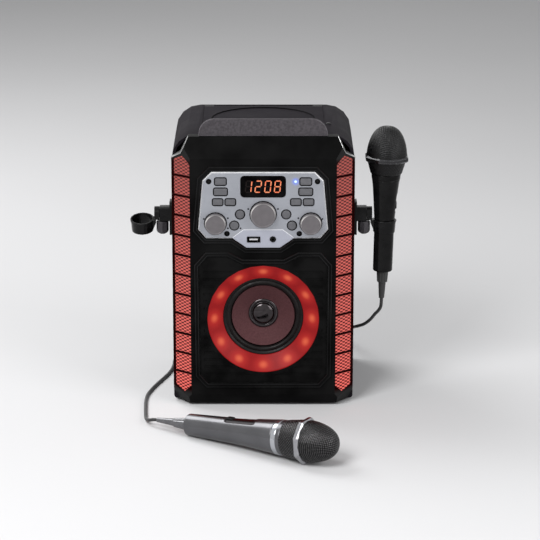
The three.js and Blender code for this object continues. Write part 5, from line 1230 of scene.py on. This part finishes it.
# Corners of a dial's rim: step in from its radius, and depth behind its front
KNOB_RIM = ((2.0, 0.3), (1.6, 0), (1.0, 0), (0.2, 1.0), (0, 2.2))
KNOB_DISH = 0.3
KNOB_EDGE = 0.4
KNOB_ROUNDING = 0.45
KNOB_BACK = PANEL_FACE - 0.5
KNOB_STEM = 3.0
KNOB_STEM_BACK = 7.6
KNOB_STEP = 0.8
# Edges and depths of the painted shade in the gaps round keys and dials
KEY_GAP = (0.1, 1.15)
KNOB_GAP = (-0.4, 1.5)
GAP_DEPTHS = (PANEL_FACE - 0.06, PANEL_FACE + 0.4)
# The sides of a dial's rim that get a painted highlight, as turns from the right of the dial, and how
# strongly
RIM_HIGHLIGHTS = ((math.radians(-148.0), 0.9), (math.radians(-32.0), 0.6))
RIM_SPREAD = 7
RIM_ALL_ROUND = 0.05
RIM_WIDTH = 1.5
RIM_EDGE = 0.1
RIM_DEPTH = 1.6
RIM_FADE = 0.5


def machine_box(node):
    """A CAD node's lowest and highest corners in millimetres on the machine."""
    return [(np.array(corner) - TO_FRAME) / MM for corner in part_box(node)]


def make_key(key):
    """A push key with rounded corners or a round key, and the painted shade in the gap round it."""
    low, high = machine_box(f"{key}_button")
    x, z = (low[0] + high[0]) / 2, (low[2] + high[2]) / 2 + KEY_RAISED
    half = (high - low)[[0, 2]] / 2 - KEY_FLANGE - KEY_INSET
    if key in PUSH_KEYS:
        corner = KEY_CORNER
        corners = (x - half[0], KEY_FRONT, z - half[1]), (x + half[0], KEY_BACK, z + half[1])
        cap = oblong_cap(f"{key}_cap", *corners, KEY_EDGE, KEY_CROWN, corner)
    else:
        corner = half[0]
        rim = [(corner * share - inset, KEY_FRONT + depth) for share, inset, depth in ROUND_KEY_RIM]
        profile = softened([(0, KEY_FRONT), *rim, (corner, KEY_BACK), (0, KEY_BACK)], KEY_ROUNDING)
        cap = turned(f"{key}_cap", profile, facing_back(x, z), 64)
    dressed(cap, "key gray", f"{key}_key", [f"{key}_button"])
    return oblong_frame(f"{key}_gap", x, z, half, corner, *KEY_GAP, *GAP_DEPTHS)


def make_dial(dial):
    """A dial with a painted highlight on two sides of its rim, and the painted shade in the gap round it."""
    low, high = machine_box(f"{dial}_knob")
    x, z = (low[0] + high[0]) / 2, (low[2] + high[2]) / 2
    radius, front = (high[0] - low[0]) / 2, low[1]
    profile = divided(softened([
        (0, front + KNOB_DISH), *((radius - inset, front + depth) for inset, depth in KNOB_RIM),
        (radius, KNOB_BACK - KNOB_EDGE), (radius - KNOB_EDGE, KNOB_BACK), (KNOB_STEM, KNOB_BACK),
        (KNOB_STEM, KNOB_STEM_BACK), (0, KNOB_STEM_BACK),
    ], KNOB_ROUNDING), KNOB_STEP)

    def rim(angle, place, height):
        # Painted highlight on the rim, strongest on the sides turned to the lamps
        lights = (share * np.clip(np.cos(angle - at), 0.0, 1.0) ** RIM_SPREAD for at, share in RIM_HIGHLIGHTS)
        near_rim = eased((place - radius + RIM_WIDTH) / RIM_EDGE)
        in_front = eased((front + RIM_DEPTH - height) / RIM_FADE)
        return {"rim": (RIM_ALL_ROUND + sum(lights)) * near_rim * in_front}

    piece = turned(f"{dial}_dial_finished", profile, facing_back(x, z), 128, values=rim)
    dressed(piece, "knob gray", f"{dial}_dial", [f"{dial}_knob"])
    return oblong_frame(f"{dial}_gap", x, z, (radius, radius), radius, *KNOB_GAP, *GAP_DEPTHS)


def make_keys():
    gaps = [*map(make_key, (*PUSH_KEYS, *ROUND_KEYS)), *map(make_dial, DIALS)]
    # Painted shade in the gaps round the keys and dials
    dressed(joined("key_gaps", gaps), "dark gap", "cabinet")


# Loudspeaker: profiles as radius and depth behind the front plane

LENS_OUTER = 65.8
LENS_WIDTH = 18.2
LENS_STEP = 1.2
CONE_STEP = 2.0
LENS_PROFILE = divided(softened((
    (65.8, 3.2), (65.8, 1.2), (65.2, 0.8), (64.4, 1.0), (60.5, 3.3), (56.7, 5.6), (52.5, 8.4), (48.6, 11.3),
    (47.6, 11.9), (47.6, 14.0), (65.8, 3.2),
), 0.5), LENS_STEP)[:-1]
FRAME_PROFILE = softened((
    (0, 55.9), (33, 55.9), (33, 38), (51.5, 21.3), (51.5, 15.8), (47.3, 15.8), (47.3, 12.1), (46.0, 12.1),
    (44.5, 12.9), (43.8, 13.6), (43.0, 13.1), (41.6, 12.4), (40.2, 12.6), (38.9, 13.6), (38.2, 15.2),
    (38.0, 16.1), (40.2, 18.3), (26, 38), (0, 38),
), 0.6)
CONE_PROFILE = divided(softened((
    (0, 27.3), (18.6, 27.3), (24, 23.9), (30, 20.3), (36.2, 16.7), (37.2, 16.3), (37.4, 17.5), (19.9, 31.2),
    (0, 31.2),
), 0.6), CONE_STEP)
CAP_RADIUS = 13.0
CAP_FOOT = 25.5
CAP_DOME = 4.5
CAP_RIM = softened((
    (13.0, 25.5), (13.2, 26.1), (14.0, 26.3), (14.6, 25.6), (16.6, 25.5), (17.6, 26.2), (17.6, 27.0),
    (0, 27.0),
), 0.4)


def make_speaker():
    aim = facing_back(0.0, SPEAKER_Z)

    def lens_share(angle, radius, height):
        return {"lens": np.clip((LENS_OUTER - radius) / LENS_WIDTH, 0.0, 1.0)}

    ring = turned("light_ring_lens", LENS_PROFILE, aim, 180, values=lens_share, ring=True)
    dressed(ring, "ring glow", "cabinet", ["light_ring"])
    turn = np.linspace(0.0, math.pi / 2, 14)[:-1]
    dome = np.stack([CAP_RADIUS * np.sin(turn), CAP_FOOT - CAP_DOME * np.cos(turn)], -1)
    for node, profile, sides, look, body, slot in (
        ("speaker_frame", FRAME_PROFILE, 144, "basket black", "cabinet", "black_basket"),
        ("speaker_cone", CONE_PROFILE, 144, "pressed paper", "cone", "brown_cone"),
        ("dust_cap", np.vstack([dome, CAP_RIM]), 96, "dark chrome", "cone", "chrome_cap"),
    ):
        dressed(turned(f"{node}_finished", profile, aim, sides), look, body, [node])
    dress_nodes(("speaker_grille", "grille black", "black_grille"))


# Light strips

def make_light_strips():
    for node in ("light_strip_left", "light_strip_right"):
        piece = refined(node)
        mesh = piece.data
        co = np.zeros(len(mesh.vertices) * 3)
        mesh.vertices.foreach_get("co", co)
        x, y, z = ((co.reshape(-1, 3) - TO_FRAME) / MM).T
        along = (np.abs(x) - CHAMFER_INNER) * math.cos(CHAMFER_TURN) + y * math.sin(CHAMFER_TURN)
        corner = np.zeros(len(mesh.loops), np.int32)
        mesh.loops.foreach_get("vertex_index", corner)
        for layer in list(mesh.uv_layers):
            mesh.uv_layers.remove(layer)
        layer = mesh.uv_layers.new(name="Along the strip")
        layer.data.foreach_set("uv", np.stack([along, z], -1)[corner].astype(np.float32).reshape(-1))
        dressed(piece, "strip glow", "cabinet", [node])


# Disc bay

LID_BUTTON_AT = (77.0, 77.0, 329.3)
LID_BUTTON = softened(((0, 0), (1.6, -0.15), (2.7, -0.6), (3.1, -1.2), (3.1, -12.0), (0, -12.0)), 0.4)


def make_disc_bay():
    dress_nodes(
        ("disc_lid", "lid charcoal", "charcoal_lid", "lid", 20.0, (0, 0, 1)),
        ("disc_deck", "bay gray", "black_fittings"),
        ("disc_mechanism", "plain steel", "plain_steel"),
        ("turntable", "hub gray", "black_fittings", "turntable"),
        ("pickup_sled", "fitting black", "black_fittings", "pickup"),
    )
    button = turned("lid_button_finished", LID_BUTTON, axis_frame(LID_BUTTON_AT), 64)
    dressed(button, "gloss black", "lid_button", ["lid_button"])


# Back of the machine

def make_jacks():
    dress_nodes(
        ("jack_plate", "fitting black", "black_fittings"),
        ("microphone_socket_1", "plated metal", "plated_metal"),
        ("microphone_socket_2", "plated metal", "plated_metal"),
    )


# Holders

def make_holders():
    for side in ("left", "right"):
        dress_nodes(
            (f"holder_plate_{side}", "fitting black", "black_fittings"),
            (f"cup_arm_{side}", "gloss fitting", "black_fittings", f"{side}_cup_arm"),
            (f"thumb_knob_{side}", "thumb gray", "gray_keys", f"{side}_thumb_knob", 20.0),
        )


# Microphones, each about its own axis: heights run from its tail or its holder's rim towards the head

HEAD_RADIUS = 23.6
HEAD_STEP = 0.4
HEAD_EDGE = 0.6
HEAD_LOWER_STEP = 0.3
BAND_GAP = 0.3
BAND_OVERLAP = 1.0
BAND_HEIGHT = 7.0
BAND_CUT = (2.2, 1.6)
WEAVE_RADIUS = 22.0
WEAVE_DRAPED = 3.0
WEAVE_APEX = 6.0
FLUTES = 12
FLUTE_DEPTH = 0.45
FLUTE_FADE = 0.12
COLLAR_EDGE = (0.5, 0.8)
COLLAR_FOOT = 0.5
BOOT_EDGE = (0.3, 1.0)
RELIEF_ROUNDING = 0.5
RELIEF_STEP = 0.9
SLIDER_HALF = (4.2, 4.5)
SLIDER_OFFSET = 3.0
SLIDER_SEAT = 1.4
SLIDER_SUNK = 0.3
SLIDER_RISE = 1.95
SLIDER_RIDGE = 0.22
INLAY_EDGE = (1.15, 0.3)
BRIGHT_FADE = 0.5


def inlay_dent(at, radius, width, length, depth, slant=0.0):
    """A rounded oblong sunk into a handle's switch side, centred at a height, its ends cut at a slant: its
    share of the full depth at each angle and height, which eases out at its rim, and its depth."""
    def share(angle, height):
        across = radius * np.arcsin(np.clip(np.cos(angle), -1, 1))
        along = height - at - slant * across
        inside = (np.abs(across) / (width / 2)) ** 8 + (np.abs(along) / (length / 2)) ** 16
        return np.where(np.sin(angle) < 0, eased((INLAY_EDGE[0] - inside) / INLAY_EDGE[1]), 0.0)

    return share, lambda angle, height: depth * share(angle, height)


def mesh_head(name, matrix, foot, lower, lower_top, lower_height, dome_height, finer, sides):
    """A microphone's head: a turned form, its skin raised into a weave of two sets of wires that cross at
    right angles. A wire's back is a half circle, and it passes over and under the others by turns. Over the
    dome the wires lie as a square cloth draped from the apex, and under the band they run up at a slant
    both ways."""
    band_foot = foot + lower_height
    band_top = band_foot + BAND_HEIGHT
    turn = np.linspace(0.0, math.pi / 2, 60)
    dome = np.stack([HEAD_RADIUS * np.maximum(np.cos(turn), 0.0) ** 0.75,
                     band_top + dome_height * np.sin(turn) ** 1.2], -1)
    lower_part = divided([
        (lower, foot + HEAD_EDGE), (lower_top, band_foot - BAND_GAP), (HEAD_RADIUS, band_foot + BAND_OVERLAP),
        (HEAD_RADIUS, band_top - BAND_OVERLAP),
    ], HEAD_LOWER_STEP)
    profile = np.vstack([[(0.0, foot), (lower - HEAD_EDGE, foot)], lower_part, dome[:-1],
                         [(0.0, band_top + dome_height)]])
    along = np.concatenate([[0.0], np.cumsum(np.linalg.norm(np.diff(profile, axis=0), axis=1))])
    even = np.unique(np.concatenate([along[:2], np.arange(along[2], along[-1], HEAD_STEP), along[-1:]]))
    profile = np.stack([np.interp(even, along, profile[:, k]) for k in (0, 1)], -1)
    pitch = sizes().weave_pitch / MM * finer
    around = np.linspace(0.0, 2 * math.pi, sides, endpoint=False)
    turns = np.round(2 * math.pi * WEAVE_RADIUS / pitch / math.sqrt(2.0)) * around / (2 * math.pi)
    rise = even[:, None] / pitch / math.sqrt(2.0)
    apex = (even[-1] - even[:, None]) / pitch
    draped = profile[:, 1:] > band_foot + WEAVE_DRAPED
    a = np.where(draped, apex * np.cos(around), turns + rise)
    b = np.where(draped, apex * np.sin(around), turns - rise)
    over = np.cos(math.pi * (np.floor(a) + np.floor(b)))

    def back(t):
        return np.sqrt(np.clip(1 - (2 * (t - np.floor(t)) - 1) ** 2 / 0.5, 0.0, 1.0))

    first = back(a) * (0.75 + 0.25 * np.sin(math.pi * (b - np.floor(b))) * over)
    second = back(b) * (0.75 - 0.25 * np.sin(math.pi * (a - np.floor(a))) * over)
    weave = np.maximum(first, second)
    fades = np.clip(profile[:, :1] / WEAVE_APEX, 0.0, 1.0) * (even[:, None] > along[2] - 0.01)
    slope = np.gradient(profile, axis=0)
    slope /= np.maximum(np.linalg.norm(slope, axis=1, keepdims=True), 1e-9)
    lift = sizes().weave_depth / MM * (weave - 0.6) * fades
    radius = np.maximum(profile[:, :1] + slope[:, 1:] * lift, 0.0)
    radius[[0, -1]] = 0.0
    height = profile[:, 1:] - slope[:, :1] * lift
    grid = np.stack([radius * np.cos(around), radius * np.sin(around), height], -1)
    return surface(name, moved(grid, matrix), values={"weave": weave}, sharp=180.0)


def eight_sided_band(name, matrix, foot):
    """The band round a head: an octagon, its upper and lower edges cut at a slant."""
    angle = np.arange(8) * math.pi / 4 + math.pi / 8
    inner, cut = BAND_RADIUS - BAND_CUT[0], BAND_CUT[1]
    top = foot + BAND_HEIGHT
    profile = np.array([(0.0, foot), (inner, foot), (BAND_RADIUS, foot + cut), (BAND_RADIUS, top - cut),
                        (inner, top), (0.0, top)])
    grid = np.stack([profile[:, :1] * np.cos(angle), profile[:, :1] * np.sin(angle),
                     np.repeat(profile[:, 1:], 8, axis=1)], -1)
    return surface(name, moved(grid, matrix), sharp=20.0)


def fluted_relief(name, matrix, high, collar, foot, collar_length, top, tip, length):
    """A strain relief: a fluted collar that narrows to a slim boot. The collar's radius dips by a cosine of
    the flutes round it, and fades out at both ends."""
    low = high - collar_length
    profile = divided(softened([
        (0, high), (collar - COLLAR_EDGE[0], high), (collar, high - COLLAR_EDGE[1]),
        (foot, low + COLLAR_FOOT), (top + BOOT_EDGE[0], low), (top, low - BOOT_EDGE[1]), (tip, low - length),
        (0, low - length),
    ], RELIEF_ROUNDING), RELIEF_STEP)

    def flutes(angle, height):
        along = (high - height) / collar_length
        mask = eased(along / FLUTE_FADE) * eased((1 - along) / FLUTE_FADE)
        return FLUTE_DEPTH * mask * (0.5 - 0.5 * np.cos(FLUTES * angle))

    return turned(name, profile, matrix, 96, dent=flutes)


def slider_cap(name, matrix, at, radius):
    """The switch's thumb piece: a rounded block with ridges across it, raised out of the inlay."""
    u = np.linspace(-1.0, 1.0, 25)
    v = np.linspace(-1.0, 1.0, 41)
    shape = np.clip(1.08 - (np.abs(u)[None, :] ** 6 + np.abs(v)[:, None] ** 8), 0.0, 1.0) ** 0.35
    ridges = SLIDER_RIDGE * np.cos(v * math.pi * 3.5)[:, None] ** 2 * shape
    seat = SLIDER_SEAT - radius
    top = seat - SLIDER_RISE * shape - ridges
    x = np.broadcast_to(u[None, :] * SLIDER_HALF[0], top.shape)
    z = np.broadcast_to(at - SLIDER_OFFSET + v[:, None] * SLIDER_HALF[1], top.shape)
    face = np.stack([x, top, z], -1)
    foot = np.stack([x, np.full(top.shape, seat + SLIDER_SUNK), z], -1)
    rims = [np.concatenate([side[0, :-1], side[:-1, -1], side[-1, :0:-1], side[:0:-1, 0]])
            for side in (face, foot)]
    pieces = [surface(name + "_wall", moved(rims, matrix))]
    for title, side, way in (("_top", face, -1), ("_base", foot, 1)):
        pieces.append(surface(name + title, moved(side, matrix), wraps_columns=False,
                              open_front=matrix[:3, :3] @ (0, way, 0)))
    whole = joined(name, pieces)
    merged(whole.data, lambda shape: bmesh.ops.recalc_face_normals(shape, faces=shape.faces))
    return whole


def make_microphone(kind, aim, profile, ease, inlay, head, relief, slider, looks, bright=None):
    """A microphone's handle with its inlay, and with a bright ring between two heights where given, its
    head and band, its strain relief and its switch."""
    name = f"{kind}_mic"
    share, dent = inlay_dent(*inlay)

    def facts(angle, radius, height):
        values = {"inlay": share(angle, height)}
        if bright:
            ends = height - bright[0], bright[1] - height
            values["bright ring"] = eased(ends[0] / BRIGHT_FADE) * eased(ends[1] / BRIGHT_FADE)
        return values

    profile = divided(softened(profile, ease), ease)
    handle = turned(f"{name}_handle_finished", profile, aim, 144, values=facts, dent=dent)
    band = eight_sided_band(f"{name}_band", aim, head[0] + head[3])
    dressed(handle, looks[0], name, [f"{name}_handle"])
    dressed(mesh_head(f"{name}_mesh", aim, *head), looks[1], name, [f"{name}_head"])
    dressed(band, looks[2], name)
    boot = fluted_relief(f"{name}_relief", aim, *relief)
    dressed(boot, looks[3], name, [f"{name}_strain_relief"])
    switch = slider_cap(f"{name}_slider", aim, *slider)
    dressed(switch, "fitting black", f"{kind}_switch", [f"{name}_switch"])


def make_black_microphone():
    aim = axis_frame((CUP_X, CUP_Y, CUP_Z), (CUP_LEAN, "Y"), (math.pi / 2, "Z"))
    profile = [
        (0, -63.0), (10.6, -63.0), (11.5, -62.1), (11.6, -40.0), (11.75, -15.0), (11.9, -2.0), (11.3, -1.4),
        (11.3, -0.6), (12.0, 0.0), (13.0, 12.0), (14.0, 26.0), (15.0, 38.0), (16.0, 46.5), (16.6, 49.0),
        (16.3, 49.6), (16.9, 50.2), (17.3, 55.6), (17.0, 56.0), (0, 56.0),
    ]
    make_microphone(
        "black", aim, profile, 0.7, inlay=(21.0, 13.0, 9.0, 23.0, 1.0), slider=(21.0, 13.0),
        head=(56.3, 18.4, 22.4, 15.0, 34.0, 0.85, 300), relief=(-63.3, 7.0, 6.2, 14.0, 4.4, 3.2, 20.0),
        looks=("gloss black", "black weave", "band black", "soft rubber"),
    )


def make_silver_microphone():
    profile = [
        (0, 0), (11.6, 0), (12.6, 1.0), (13.7, 30.0), (14.8, 62.0), (16.2, 84.0), (17.6, 100.0),
        (19.0, 115.0), (19.9, 123.6), (19.5, 124.2), (20.2, 124.9), (20.4, 130.0), (19.8, 130.6),
        (20.3, 131.2), (20.3, 135.6), (19.8, 136.0), (0, 136.0),
    ]
    make_microphone(
        "silver", silver_frame(), profile, 0.8, inlay=(74.0, 15.3, 19.0, 42.0, 0.6, 0.3), slider=(62.0, 14.8),
        head=(136.3, 20.8, 23.4, 21.0, 36.0, 0.8, 340), relief=(-0.3, 7.4, 5.3, 20.0, 4.4, 2.6, 24.7),
        looks=("satin silver", "steel weave", "band steel", "silver relief"),
        bright=(124.5, 131.0),
    )


# Operators and panel

class Step:
    """What the operators share: each runs its own action."""

    bl_options = {"REGISTER", "UNDO"}

    def execute(self, context):
        type(self).action()
        return {"FINISHED"}


class KARAOKE_OT_Stage(Step, bpy.types.Operator):
    """Adds the camera, floor, lamps and world."""

    bl_idname = "karaoke.stage"
    bl_label = "Set Up the Studio"
    action = staticmethod(make_stage)


class KARAOKE_OT_Cords(Step, bpy.types.Operator):
    """Lays both microphone cords with their coils and plugs."""

    bl_idname = "karaoke.cords"
    bl_label = "Lay the Cords"
    action = staticmethod(make_cords)


class KARAOKE_OT_Shells(Step, bpy.types.Operator):
    """Dresses the rear and front shells and the lip along the top."""

    bl_idname = "karaoke.shells"
    bl_label = "Dress the Shells"
    action = staticmethod(make_shells)


class KARAOKE_OT_Panel(Step, bpy.types.Operator):
    """Dresses the control panel, its window, digits, sockets and small marks."""

    bl_idname = "karaoke.panel"
    bl_label = "Dress the Control Panel"
    action = staticmethod(make_panel)


class KARAOKE_OT_Keys(Step, bpy.types.Operator):
    """Makes the push keys, the round keys and the three dials."""

    bl_idname = "karaoke.keys"
    bl_label = "Make the Keys and Dials"
    action = staticmethod(make_keys)


class KARAOKE_OT_Speaker(Step, bpy.types.Operator):
    """Makes the grille, the lit ring, the frame, the cone and the dust cap."""

    bl_idname = "karaoke.speaker"
    bl_label = "Make the Loudspeaker"
    action = staticmethod(make_speaker)


class KARAOKE_OT_Strips(Step, bpy.types.Operator):
    """Dresses the two light strips on the front edges."""

    bl_idname = "karaoke.light_strips"
    bl_label = "Light the Strips"
    action = staticmethod(make_light_strips)


class KARAOKE_OT_DiscBay(Step, bpy.types.Operator):
    """Dresses the lid, its button, the deck, the turntable and the pickup."""

    bl_idname = "karaoke.disc_bay"
    bl_label = "Dress the Disc Bay"
    action = staticmethod(make_disc_bay)


class KARAOKE_OT_Jacks(Step, bpy.types.Operator):
    """Dresses the jack plate and its two sockets on the back."""

    bl_idname = "karaoke.jacks"
    bl_label = "Dress the Jacks"
    action = staticmethod(make_jacks)


class KARAOKE_OT_Holders(Step, bpy.types.Operator):
    """Dresses the holder plates, the cups and the thumb knobs."""

    bl_idname = "karaoke.holders"
    bl_label = "Dress the Holders"
    action = staticmethod(make_holders)


class KARAOKE_OT_BlackMicrophone(Step, bpy.types.Operator):
    """Makes the black microphone that hangs in its cup."""

    bl_idname = "karaoke.black_microphone"
    bl_label = "Make the Black Microphone"
    action = staticmethod(make_black_microphone)


class KARAOKE_OT_SilverMicrophone(Step, bpy.types.Operator):
    """Makes the silver microphone that lies on the floor."""

    bl_idname = "karaoke.silver_microphone"
    bl_label = "Make the Silver Microphone"
    action = staticmethod(make_silver_microphone)


STEPS = (
    KARAOKE_OT_Stage,
    KARAOKE_OT_Cords,
    KARAOKE_OT_Shells,
    KARAOKE_OT_Panel,
    KARAOKE_OT_Keys,
    KARAOKE_OT_Speaker,
    KARAOKE_OT_Strips,
    KARAOKE_OT_DiscBay,
    KARAOKE_OT_Jacks,
    KARAOKE_OT_Holders,
    KARAOKE_OT_BlackMicrophone,
    KARAOKE_OT_SilverMicrophone,
)


class KARAOKE_PT_Panel(bpy.types.Panel):
    """The sizes, the colours and a button for each step."""

    bl_idname = "KARAOKE_PT_panel"
    bl_label = "Karaoke Machine"
    bl_space_type = "VIEW_3D"
    bl_region_type = "UI"
    bl_category = "Karaoke"

    def draw(self, context):
        for step in STEPS:
            self.layout.operator(step.bl_idname)
        for group in (context.scene.karaoke_sizes, context.scene.karaoke_colours):
            column = self.layout.column()
            for title in group.__annotations__:
                column.prop(group, title)


CLASSES = (KaraokeColours, KaraokeSizes, *STEPS, KARAOKE_PT_Panel)


def register():
    for kind in CLASSES:
        bpy.utils.register_class(kind)
    bpy.types.Scene.karaoke_colours = PointerProperty(type=KaraokeColours)
    bpy.types.Scene.karaoke_sizes = PointerProperty(type=KaraokeSizes)


def unregister():
    del bpy.types.Scene.karaoke_sizes
    del bpy.types.Scene.karaoke_colours
    for kind in reversed(CLASSES):
        bpy.utils.unregister_class(kind)


def plain(bounds):
    return [[float(v) for v in corner] for corner in bounds]


def main():
    register()
    for step in STEPS:
        family, title = step.bl_idname.split(".")
        getattr(getattr(bpy.ops, family), title)()
    {"cad": plain(CAD_BOUNDS), "dressed": plain(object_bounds())}


if __name__ == "__main__":
    main()
